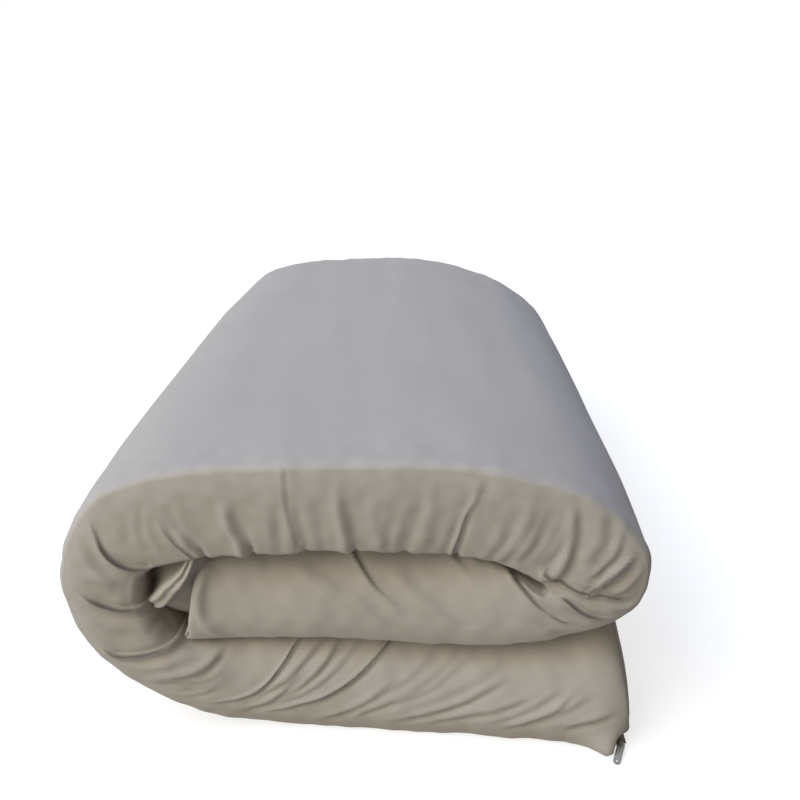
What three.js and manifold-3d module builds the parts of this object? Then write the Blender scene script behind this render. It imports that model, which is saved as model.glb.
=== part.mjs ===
// A floor mattress rolled up in three layers: foam in a zipped cover, wound from its inner end
// and lying on its outer layer. X runs across the roll, Y along the mattress's width and Z up.
// Sizes are in millimetres.
import * as THREE from "three";
import { mergeVertices } from "three/addons/utils/BufferGeometryUtils.js";
import Module from "manifold-3d";

// The mattress, as cut: its edges are taut outside the turns and slack inside them.
const WIDTH = 1000;
const OUTER_EDGE_R = 13;
const INNER_EDGE_R = 24;
const SIDE_BULGE = 15;
const MOST_EDGE = 0.4; // the largest edge radius, as a share of the thickness there

// How each short end is rounded: along the mattress, and in from its two faces and its sides.
const OUTER_END = { along: 45, outer: 24, inner: 22, side: 14 };
const INNER_END = { along: 12, outer: 9, inner: 9, side: 8 };

// How finely the skin is drawn.
const RINGS_PER_ROW = 2;
const END_STEPS = 4;
const SIDE_STEPS = 3;
const EDGE_STEPS = 3;
const FACE_STEPS = 4;
const CLOSEST_RING = 0.4; // the least distance between rings, as a share of their usual one

// The wound section, a row for each station from the outer end at the floor to the inner end.
// outX, outZ: the face outside the turns; inX, inZ: the face inside them; drift: how far the
// layer has slid forward there; slump: how much lower the outside face lies at the back.
const SECTION = [
  { outX: 341, outZ: 0, inX: 320, inZ: 146, drift: 24 },
  { outX: 298, outZ: 0, inX: 288, inZ: 145, drift: 22 },
  { outX: 246, outZ: 0, inX: 240, inZ: 137, drift: 19 },
  { outX: 184, outZ: 0, inX: 184, inZ: 128, drift: 14 },
  { outX: 114, outZ: 0, inX: 116, inZ: 122, drift: 9 },
  { outX: 42, outZ: 0, inX: 46, inZ: 122, drift: 5 },
  { outX: -30, outZ: 0, inX: -25, inZ: 125, drift: 2 },
  { outX: -92, outZ: 3, inX: -83, inZ: 126, drift: 1 },
  { outX: -144, outZ: 9, inX: -130, inZ: 123, drift: 0 },
  { outX: -186, outZ: 19, inX: -165, inZ: 121, drift: 0 },
  { outX: -225, outZ: 36, inX: -194, inZ: 122, drift: 0 },
  { outX: -265, outZ: 60, inX: -215, inZ: 133, drift: 0 },
  { outX: -303, outZ: 96, inX: -231, inZ: 155, drift: 0 },
  { outX: -329, outZ: 140, inX: -241, inZ: 179, drift: 0 },
  { outX: -341, outZ: 186, inX: -246, inZ: 200, drift: 0 },
  { outX: -342, outZ: 227, inX: -245, inZ: 214, drift: 0 },
  { outX: -330, outZ: 268, inX: -239, inZ: 225, drift: 0 },
  { outX: -311, outZ: 304, inX: -227, inZ: 233, drift: 0 },
  { outX: -282, outZ: 334, inX: -209, inZ: 240, drift: 0 },
  { outX: -242, outZ: 353, inX: -187, inZ: 245, drift: 0 },
  { outX: -197, outZ: 364, inX: -161, inZ: 249, drift: 0 },
  { outX: -143, outZ: 370, inX: -126, inZ: 252, drift: 0 },
  { outX: -83, outZ: 374, inX: -80, inZ: 255, drift: 0 },
  { outX: -24, outZ: 377, inX: -28, inZ: 259, drift: 0 },
  { outX: 35, outZ: 378, inX: 26, inZ: 261, drift: 0 },
  { outX: 93, outZ: 378, inX: 80, inZ: 261, drift: 0, slump: 6 },
  { outX: 147, outZ: 374, inX: 126, inZ: 257, drift: 1, slump: 12 },
  { outX: 196, outZ: 365, inX: 164, inZ: 250, drift: 2, slump: 18 },
  { outX: 240, outZ: 351, inX: 194, inZ: 240, drift: 3, slump: 22 },
  { outX: 282, outZ: 328, inX: 214, inZ: 230, drift: 4, slump: 24 },
  { outX: 315, outZ: 298, inX: 225, inZ: 223, drift: 5, slump: 20 },
  { outX: 336, outZ: 265, inX: 229, inZ: 219, drift: 5, slump: 10 },
  { outX: 344, outZ: 233, inX: 230, inZ: 216, drift: 5 },
  { outX: 338, outZ: 204, inX: 229, inZ: 213, drift: 5 },
  { outX: 316, outZ: 179, inX: 225, inZ: 212, drift: 5 },
  { outX: 280, outZ: 160, inX: 214, inZ: 216, drift: 5 },
  { outX: 240, outZ: 146, inX: 194, inZ: 226, drift: 5 },
  { outX: 193, outZ: 136, inX: 166, inZ: 239, drift: 5 },
  { outX: 130, outZ: 129, inX: 126, inZ: 249, drift: 5 },
  { outX: 64, outZ: 128, inX: 70, inZ: 253, drift: 5 },
  { outX: 3, outZ: 131, inX: 10, inZ: 254, drift: 5 },
  { outX: -58, outZ: 133, inX: -48, inZ: 251, drift: 4 },
  { outX: -114, outZ: 131, inX: -100, inZ: 248, drift: 3 },
  { outX: -166, outZ: 129, inX: -147, inZ: 244, drift: 2 },
  { outX: -208, outZ: 130, inX: -182, inZ: 241, drift: 1 },
];

// The tuck of slack cover that stands up inside the left turn, along the whole width: a row for
// each step from its root in the turn to its tip beside the inner end.
const TUCK_BEHIND = 14; // how far its ends stay behind the mattress's edges
const TUCK = [
  { x: -266, z: 156, thick: 14 },
  { x: -241, z: 165, thick: 13 },
  { x: -223, z: 178, thick: 15 },
  { x: -210, z: 196, thick: 18 },
  { x: -201, z: 214, thick: 15 },
  { x: -193, z: 230, thick: 9 },
];

// The zip lies flat on the floor in the hollow under the outer end, its slider closed at the
// front corner and the pull dropped forward from it.
const ZIP = { x: 331, front: -517, back: 456, z: 2.7 };
const TAPE = { inner: 12.5, outer: 9, thick: 1 };
const COIL = { wide: 5, thick: 2 };
const SLIDER = { long: 12, wide: 9, shoulder: 4.2, tail: 6.5, plate: 1.1, channel: 2.6, nose: 2.4, y: -522 };
const BAIL = { long: 8, high: 5, wire: 1.2, corner: 1.2 };
const PULL = { long: 31, wide: 9, thick: 1.3, round: 3, bar: 1.6, hole: 3 };
const EYE = { long: 5, wide: 4.4, toLeg: 2 }; // toLeg: from the pull's bar to the bail's leg
const PULL_YAW = 24; // degrees from straight forward, towards the roll
const PULL_TIP_LIFT = 0.4;
const GAP = 0.35;

const CLOTH = { color: 0xb4aa9a, roughness: 0.92, metalness: 0 };
const ZIP_TAPE = { color: 0xa39c8d, roughness: 0.85, metalness: 0 };
const ZIP_METAL = { color: 0x83857c, roughness: 0.45, metalness: 0.6 };

const QUARTER = Math.PI / 2;
const wasm = await Module();
wasm.setup();

function piece(name, geometry, look) {
  const mesh = new THREE.Mesh(geometry, new THREE.MeshStandardMaterial(look));
  mesh.name = name;
  return mesh;
}

// A geometry as a solid that can be joined.
function solidOf(geometry) {
  const bare = geometry.clone();
  bare.deleteAttribute("normal");
  bare.deleteAttribute("uv");
  const merged = mergeVertices(bare, 1e-3);
  return new wasm.Manifold(
    new wasm.Mesh({
      numProp: 3,
      vertProperties: new Float32Array(merged.attributes.position.array),
      triVerts: new Uint32Array(merged.index.array),
    }),
  );
}

// Several geometries joined into one.
function joined(geometries) {
  const mesh = geometries.map(solidOf).reduce((a, b) => a.add(b)).getMesh();
  const geometry = new THREE.BufferGeometry();
  geometry.setAttribute("position", new THREE.BufferAttribute(mesh.vertProperties, 3));
  geometry.setIndex(new THREE.BufferAttribute(mesh.triVerts, 1));
  return geometry;
}

// A closed geometry from rings of like counts. Each end is closed by a ladder of triangles
// between the two halves of its ring.
function skin(rings) {
  const count = rings[0].length;
  const last = rings.length - 1;
  const at = (ring, k) => ring * count + ((k + count) % count);
  const corners = [];
  for (let ring = 0; ring < last; ring++) {
    for (let k = 0; k < count; k++) {
      corners.push([at(ring, k), at(ring + 1, k), at(ring + 1, k + 1)]);
      corners.push([at(ring, k), at(ring + 1, k + 1), at(ring, k + 1)]);
    }
  }
  for (let k = 0; k < count / 2; k++) {
    corners.push([at(0, k), at(0, k + 1), at(0, -k - 1)]);
    corners.push([at(0, k), at(0, -k - 1), at(0, -k)]);
    corners.push([at(last, k), at(last, -k - 1), at(last, k + 1)]);
    corners.push([at(last, k), at(last, -k), at(last, -k - 1)]);
  }
  const proper = corners.filter(([a, b, c]) => a !== b && b !== c && a !== c);
  const geometry = new THREE.BufferGeometry();
  geometry.setAttribute("position", new THREE.Float32BufferAttribute(rings.flat(2), 3));
  geometry.setIndex(proper.flat());
  return geometry;
}

// Half of a long side, from its middle round the edge to the face: each point's distance out
// from the plane of the side, and its height above the middle.
function halfSide(thick, radius) {
  const half = thick / 2;
  const straight = half - radius;
  const bulge = (height) => SIDE_BULGE * (1 - (height / half) ** 2);
  const points = [];
  for (let k = 0; k < SIDE_STEPS; k++) {
    const height = (straight * k) / SIDE_STEPS;
    points.push({ out: bulge(height), height });
  }
  for (let k = 0; k <= EDGE_STEPS; k++) {
    const turn = (QUARTER * k) / EDGE_STEPS;
    const out = (radius + bulge(straight)) * Math.cos(turn) - radius;
    points.push({ out, height: straight + radius * Math.sin(turn) });
  }
  return points;
}

// One ring round the mattress at a station. trim draws it in near an end.
function mattressRing(out, inside, trim) {
  const across = new THREE.Vector3(out.x - inside.x, 0, out.z - inside.z);
  const thick = across.length() - trim.outer - trim.inner;
  across.normalize();
  const face = out.clone().addScaledVector(across, -trim.outer);
  const middle = face.clone().addScaledVector(across, -thick / 2);
  const front = trim.side - WIDTH / 2 - out.y;
  const back = WIDTH / 2 - trim.side - out.y;
  const half = (radius, up) => {
    const side = halfSide(thick, Math.min(radius, thick * MOST_EDGE));
    const fore = side.map((p) => [front - p.out, up * p.height]);
    const aft = side.map((p) => [back + p.out, up * p.height]).reverse();
    const flat = [];
    for (let k = 1; k < FACE_STEPS; k++) {
      flat.push([THREE.MathUtils.lerp(front, back, k / FACE_STEPS), (up * thick) / 2]);
    }
    return [...fore, ...flat, ...aft];
  };
  const ring = [...half(OUTER_EDGE_R, 1), ...half(INNER_EDGE_R, -1).slice(1, -1).reverse()];
  return ring.map(([y, height]) => {
    const toBack = THREE.MathUtils.smoothstep(y, -WIDTH / 2, WIDTH / 2);
    const slump = trim.slump * toBack * (0.5 + height / thick);
    const z = Math.max(middle.z + across.z * height - slump, 0);
    return [middle.x + across.x * height, y, z];
  });
}

// The rings that round an end: how far along the mattress each lies, and its trim.
function endRings(end) {
  const rings = [];
  for (let k = 0; k <= END_STEPS; k++) {
    const turn = (QUARTER * k) / END_STEPS;
    const drawn = 1 - Math.sin(turn);
    rings.push({
      along: end.along * (1 - Math.cos(turn)),
      outer: end.outer * drawn,
      inner: end.inner * drawn,
      side: end.side * drawn,
      slump: 0,
    });
  }
  return rings;
}

// The wound mattress without its tuck.
function woundMattress() {
  const rows = SECTION.length - 1;
  const outFace = new THREE.CatmullRomCurve3(
    SECTION.map((row) => new THREE.Vector3(row.outX, row.drift, row.outZ)),
  );
  const inFace = new THREE.CatmullRomCurve3(
    SECTION.map((row) => new THREE.Vector3(row.inX, row.drift, row.inZ)),
  );
  const slumps = SECTION.map((row) => row.slump ?? 0);
  const firstRow = outFace.getPoint(0).distanceTo(outFace.getPoint(1 / rows));
  const lastRow = outFace.getPoint(1).distanceTo(outFace.getPoint(1 - 1 / rows));
  const start = endRings(OUTER_END).map((ring) => ({ ...ring, at: ring.along / firstRow / rows }));
  const finish = endRings(INNER_END).map((ring) => ({ ...ring, at: 1 - ring.along / lastRow / rows }));
  const between = [];
  const steps = rows * RINGS_PER_ROW;
  for (let k = 0; k < steps; k++) {
    const clear = CLOSEST_RING / steps;
    const at = k / steps;
    if (at > start[END_STEPS].at + clear && at < finish[END_STEPS].at - clear) {
      const row = Math.floor(at * rows);
      const slump = THREE.MathUtils.lerp(slumps[row], slumps[row + 1], at * rows - row);
      between.push({ at, outer: 0, inner: 0, side: 0, slump });
    }
  }
  const all = [...start, ...between, ...finish.reverse()];
  return skin(all.map((ring) => mattressRing(outFace.getPoint(ring.at), inFace.getPoint(ring.at), ring)));
}

// The tuck's section, run along the width.
function tuck() {
  const line = TUCK.map((row) => new THREE.Vector2(row.x, row.z));
  const side = (sign) =>
    line.map((point, k) => {
      const before = line[Math.max(k - 1, 0)];
      const after = line[Math.min(k + 1, line.length - 1)];
      const along = after.clone().sub(before).normalize();
      const across = new THREE.Vector2(-along.y, along.x);
      return point.clone().addScaledVector(across, (sign * TUCK[k].thick) / 2);
    });
  const shape = new THREE.Shape([...side(-1), ...side(1).reverse()]);
  const long = WIDTH - 2 * TUCK_BEHIND;
  const geometry = new THREE.ExtrudeGeometry(shape, { depth: long, bevelEnabled: false });
  // The shape's plane is turned up into X and Z, which points its depth along -Y.
  return geometry.rotateX(QUARTER).translate(0, long / 2, 0);
}

// A flat rectangle of the zip, given by its edges across the zip and its thickness.
function zipStrip(inner, outer, thick) {
  const long = ZIP.back - ZIP.front;
  const box = new THREE.BoxGeometry(inner + outer, long, thick);
  return box.translate(ZIP.x + (outer - inner) / 2, (ZIP.back + ZIP.front) / 2, ZIP.z);
}

function zipChain() {
  const tape = zipStrip(TAPE.inner, TAPE.outer, TAPE.thick);
  const coil = zipStrip(COIL.wide / 2, COIL.wide / 2, COIL.thick);
  return joined([tape, coil]);
}

// The outline of the slider's plates: broad shoulders at the nose, narrower at the tail.
function sliderOutline() {
  const shape = new THREE.Shape();
  const front = -SLIDER.long / 2;
  const back = SLIDER.long / 2;
  const shoulder = front + SLIDER.shoulder;
  shape.moveTo(-SLIDER.wide / 4, front);
  shape.lineTo(SLIDER.wide / 4, front);
  shape.quadraticCurveTo(SLIDER.wide / 2, front, SLIDER.wide / 2, shoulder);
  shape.lineTo(SLIDER.tail / 2, back);
  shape.lineTo(-SLIDER.tail / 2, back);
  shape.lineTo(-SLIDER.wide / 2, shoulder);
  shape.quadraticCurveTo(-SLIDER.wide / 2, front, -SLIDER.wide / 4, front);
  return shape;
}

// The slider: a plate above and below the chain, joined ahead of the chain's end, and a bail.
function slider() {
  const half = SLIDER.channel / 2;
  const flat = { depth: SLIDER.plate, bevelEnabled: false, curveSegments: 5 };
  const above = new THREE.ExtrudeGeometry(sliderOutline(), flat).translate(0, 0, half);
  const below = new THREE.ExtrudeGeometry(sliderOutline(), flat).translate(0, 0, -half - SLIDER.plate);
  const nose = new THREE.BoxGeometry(SLIDER.wide / 2, SLIDER.nose, SLIDER.channel + SLIDER.plate);
  nose.translate(0, (SLIDER.nose - SLIDER.long) / 2, 0);
  const foot = half + SLIDER.plate / 2;
  const top = half + SLIDER.plate + BAIL.high - BAIL.wire / 2;
  const route = [
    [-BAIL.long / 2, foot],
    [-BAIL.long / 2, top - BAIL.corner],
    [-BAIL.long / 2 + BAIL.corner, top],
    [BAIL.long / 2 - BAIL.corner, top],
    [BAIL.long / 2, top - BAIL.corner],
    [BAIL.long / 2, foot],
  ];
  const path = new THREE.CatmullRomCurve3(route.map(([y, z]) => new THREE.Vector3(0, y, z)));
  const wire = new THREE.Shape().absarc(0, 0, BAIL.wire / 2, 0, 4 * QUARTER);
  const bail = new THREE.ExtrudeGeometry(wire, { extrudePath: path, steps: 14, curveSegments: 8 });
  return joined([above, below, nose, bail]).translate(ZIP.x, SLIDER.y, ZIP.z);
}

// The pull lies along its own -Y from the bail, its eye round the bail's front leg.
function pull() {
  const half = PULL.wide / 2;
  const shape = new THREE.Shape();
  shape.moveTo(-half + PULL.round, 0);
  shape.absarc(-half + PULL.round, -PULL.round, PULL.round, QUARTER, 2 * QUARTER);
  shape.absarc(0, -PULL.long + half, half, 2 * QUARTER, 4 * QUARTER);
  shape.absarc(half - PULL.round, -PULL.round, PULL.round, 0, QUARTER);
  const eye = new THREE.Path();
  eye.moveTo(-EYE.wide / 2, -PULL.bar);
  eye.lineTo(EYE.wide / 2, -PULL.bar);
  eye.lineTo(EYE.wide / 2, -PULL.bar - EYE.long);
  eye.lineTo(-EYE.wide / 2, -PULL.bar - EYE.long);
  const hole = new THREE.Path().absarc(0, -PULL.long + half, PULL.hole / 2, 0, 4 * QUARTER);
  shape.holes.push(eye, hole);
  const flat = { depth: PULL.thick, bevelEnabled: false, curveSegments: 6 };
  const geometry = new THREE.ExtrudeGeometry(shape, flat).translate(0, 0, -PULL.thick / 2);
  const mesh = piece("zip_pull", geometry, ZIP_METAL);
  const underBail = ZIP.z + SLIDER.channel / 2 + SLIDER.plate + BAIL.high - BAIL.wire;
  const barZ = underBail - GAP - PULL.thick / 2;
  const tipZ = PULL.thick / 2 + PULL_TIP_LIFT;
  const slope = Math.asin((barZ - tipZ) / (PULL.long - PULL.bar / 2));
  mesh.rotation.set(slope, 0, -THREE.MathUtils.degToRad(PULL_YAW), "ZXY");
  const fromLeg = new THREE.Vector3(0, PULL.bar + EYE.toLeg, 0).applyEuler(mesh.rotation);
  mesh.position.set(ZIP.x + fromLeg.x, SLIDER.y - BAIL.long / 2 + fromLeg.y, barZ);
  return mesh;
}

// The whole roll, with the middle of its box over the origin and its base on Z = 0.
function roll() {
  const group = new THREE.Group();
  group.add(
    piece("mattress", joined([woundMattress(), tuck()]), CLOTH),
    piece("zip_chain", zipChain(), ZIP_TAPE),
    piece("zip_slider", slider(), ZIP_METAL),
    pull(),
  );
  const centre = new THREE.Box3().setFromObject(group, true).getCenter(new THREE.Vector3());
  group.position.set(-centre.x, -centre.y, 0);
  return group;
}

export default roll();
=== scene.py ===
"""A floor mattress rolled up in three layers, in a knitted cover with a zip at its outer end.

The roll is worked out in millimetres, X across it, Y along the mattress's width and Z up, from
the same wound section as its solid. Meshes are in metres.
"""
import logging
import math
from collections.abc import Iterator
from contextlib import contextmanager
from dataclasses import dataclass, field
from enum import Enum

import bpy
import numpy as np
from mathutils import Euler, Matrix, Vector


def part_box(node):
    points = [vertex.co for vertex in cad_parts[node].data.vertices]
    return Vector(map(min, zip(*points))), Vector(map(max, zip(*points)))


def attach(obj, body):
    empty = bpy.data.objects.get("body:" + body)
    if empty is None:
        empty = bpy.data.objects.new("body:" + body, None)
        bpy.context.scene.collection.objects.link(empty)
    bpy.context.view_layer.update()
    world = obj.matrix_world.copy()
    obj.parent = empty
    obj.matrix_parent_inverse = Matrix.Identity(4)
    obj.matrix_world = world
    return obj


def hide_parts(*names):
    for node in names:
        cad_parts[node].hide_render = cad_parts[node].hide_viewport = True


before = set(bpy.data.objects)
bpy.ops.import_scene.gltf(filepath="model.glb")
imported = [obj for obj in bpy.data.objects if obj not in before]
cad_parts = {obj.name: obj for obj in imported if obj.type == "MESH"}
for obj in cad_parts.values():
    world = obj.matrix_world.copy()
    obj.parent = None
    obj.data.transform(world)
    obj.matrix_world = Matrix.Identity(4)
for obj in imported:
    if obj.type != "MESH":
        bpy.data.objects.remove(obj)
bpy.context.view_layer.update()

LOG = logging.getLogger("rolled_mattress")
MM = 0.001
SHIFT = np.array((-0.55, 17.91, 0.0))  # from the roll's own place to the frame's, in millimetres


class Layer(Enum):
    """The stretches of the winding, as first and last rows of the section."""

    BOTTOM = (0.0, 13.5)
    LEFT_TURN = (8.5, 21.0)
    TOP = (17.0, 31.5)
    RIGHT_TURN = (27.0, 37.5)
    MIDDLE = (32.5, 44.0)
    LOWER_TURN = (8.5, 16.0)


class Fold(Enum):
    """How a crease's cloth lies."""

    SOFT = "a rounded trough"
    SHARP = "a narrow trough"
    LAP = "the cloth on its left lies over the cloth on its right"
    RIDGE = "a raised pleat"


@dataclass(frozen=True)
class Row:
    """One station of the wound section, in millimetres."""

    out_x: float
    out_z: float
    in_x: float
    in_z: float
    drift: float = 0.0
    slump: float = 0.0


# Rows from the outer end on the floor, round the left turn, the top and the right turn, to the
# inner end: the face outside the turns, the face inside them, how far the layer has slid
# forward, and how much lower the outside face lies at the back.
SECTION = (
    Row(347, 0, 323, 146, 24),
    Row(298, 0, 288, 145, 22),
    Row(246, 0, 240, 137, 19),
    Row(184, 0, 184, 128, 14),
    Row(114, 0, 116, 122, 9),
    Row(42, 0, 46, 122, 5),
    Row(-30, 0, -25, 125, 2),
    Row(-92, 3, -83, 126, 1),
    Row(-144, 9, -130, 123),
    Row(-186, 19, -165, 121),
    Row(-225, 36, -194, 122),
    Row(-265, 60, -215, 133),
    Row(-303, 96, -231, 155),
    Row(-329, 140, -241, 179),
    Row(-341, 186, -246, 200),
    Row(-342, 227, -245, 214),
    Row(-330, 268, -239, 225),
    Row(-311, 304, -227, 233),
    Row(-282, 334, -209, 240),
    Row(-242, 353, -187, 245),
    Row(-197, 364, -161, 249),
    Row(-143, 370, -126, 252),
    Row(-83, 374, -80, 255),
    Row(-24, 377, -28, 259),
    Row(35, 378, 26, 261),
    Row(93, 378, 80, 261, 0, 6),
    Row(147, 374, 126, 257, 1, 12),
    Row(196, 365, 164, 250, 2, 18),
    Row(244, 353, 194, 240, 3, 22),
    Row(286, 330, 214, 230, 4, 24),
    Row(320, 299, 225, 223, 5, 20),
    Row(342, 266, 229, 219, 5, 10),
    Row(344, 233, 230, 216, 5),
    Row(338, 204, 229, 213, 5),
    Row(316, 179, 225, 212, 5),
    Row(280, 160, 214, 216, 5),
    Row(240, 146, 194, 226, 5),
    Row(193, 136, 166, 239, 2),
    Row(130, 129, 126, 249, -2),
    Row(64, 128, 70, 253, -5),
    Row(3, 131, 10, 254, -6),
    Row(-58, 133, -48, 251, -6),
    Row(-114, 131, -100, 248, -6),
    Row(-166, 128, -147, 244, -5),
    Row(-208, 126, -182, 241, -4),
)


@dataclass(frozen=True)
class Crease:
    """A crease in the cover of a long side, in millimetres in the section's plane.

    ridge is the height of the cloth pushed up beside it, on the left of the line where it is
    above 0 and on the right where it is below. fades are the shares of its length over which
    it comes in and goes out.
    """

    layer: Layer
    fold: Fold
    deep: float
    wide: float
    line: tuple[tuple[float, float], ...]
    ridge: float = 0.0
    fades: tuple[float, float] = (0.15, 0.25)


@dataclass(frozen=True)
class Fan:
    """A family of like soft creases between two lines with as many points each.

    wander is how far a point strays from its even place, in millimetres.
    """

    layer: Layer
    deep: float
    wide: float
    ridge: float
    fades: tuple[float, float]
    count: int
    seed: int
    first: tuple[tuple[float, float], ...]
    last: tuple[tuple[float, float], ...]
    wander: float = 4.0

    def creases(self) -> list[Crease]:
        """The creases between the two lines.

        Returns:
            As many creases as the fan's count, each a little different.
        """
        rng = np.random.default_rng(self.seed)
        made = []
        start, finish = np.array(self.first, float), np.array(self.last, float)
        for k in range(self.count):
            share = (k + 1 + rng.uniform(-0.25, 0.25)) / (self.count + 1)
            points = (1 - share) * start + share * finish
            points[1:] += rng.normal(0, self.wander, 2) + rng.normal(0, self.wander / 4, points[1:].shape)
            strength = rng.uniform(0.55, 1.25)
            late = rng.uniform(0.0, 0.35)
            fades = (self.fades[0] + late * 0.5, self.fades[1] + late)
            line = tuple((float(x), float(z)) for x, z in points)
            wide = self.wide * rng.uniform(0.8, 1.25)
            deep, ridge = self.deep * strength, self.ridge * strength
            made.append(Crease(self.layer, Fold.SOFT, deep, wide, line, ridge, fades))
        return made


def creased(layer: Layer, deep: float, wide: float, *line: tuple[float, float], ridge: float = 0.0,
            fold: Fold = Fold.SOFT, fades: tuple[float, float] = (0.1, 0.35)) -> Crease:
    """A crease with its line written last."""
    return Crease(layer, fold, deep, wide, line, ridge, fades)


LEFT, RIGHT, TOP = Layer.LEFT_TURN, Layer.RIGHT_TURN, Layer.TOP
MIDDLE, BOTTOM, LOWER = Layer.MIDDLE, Layer.BOTTOM, Layer.LOWER_TURN

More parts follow.
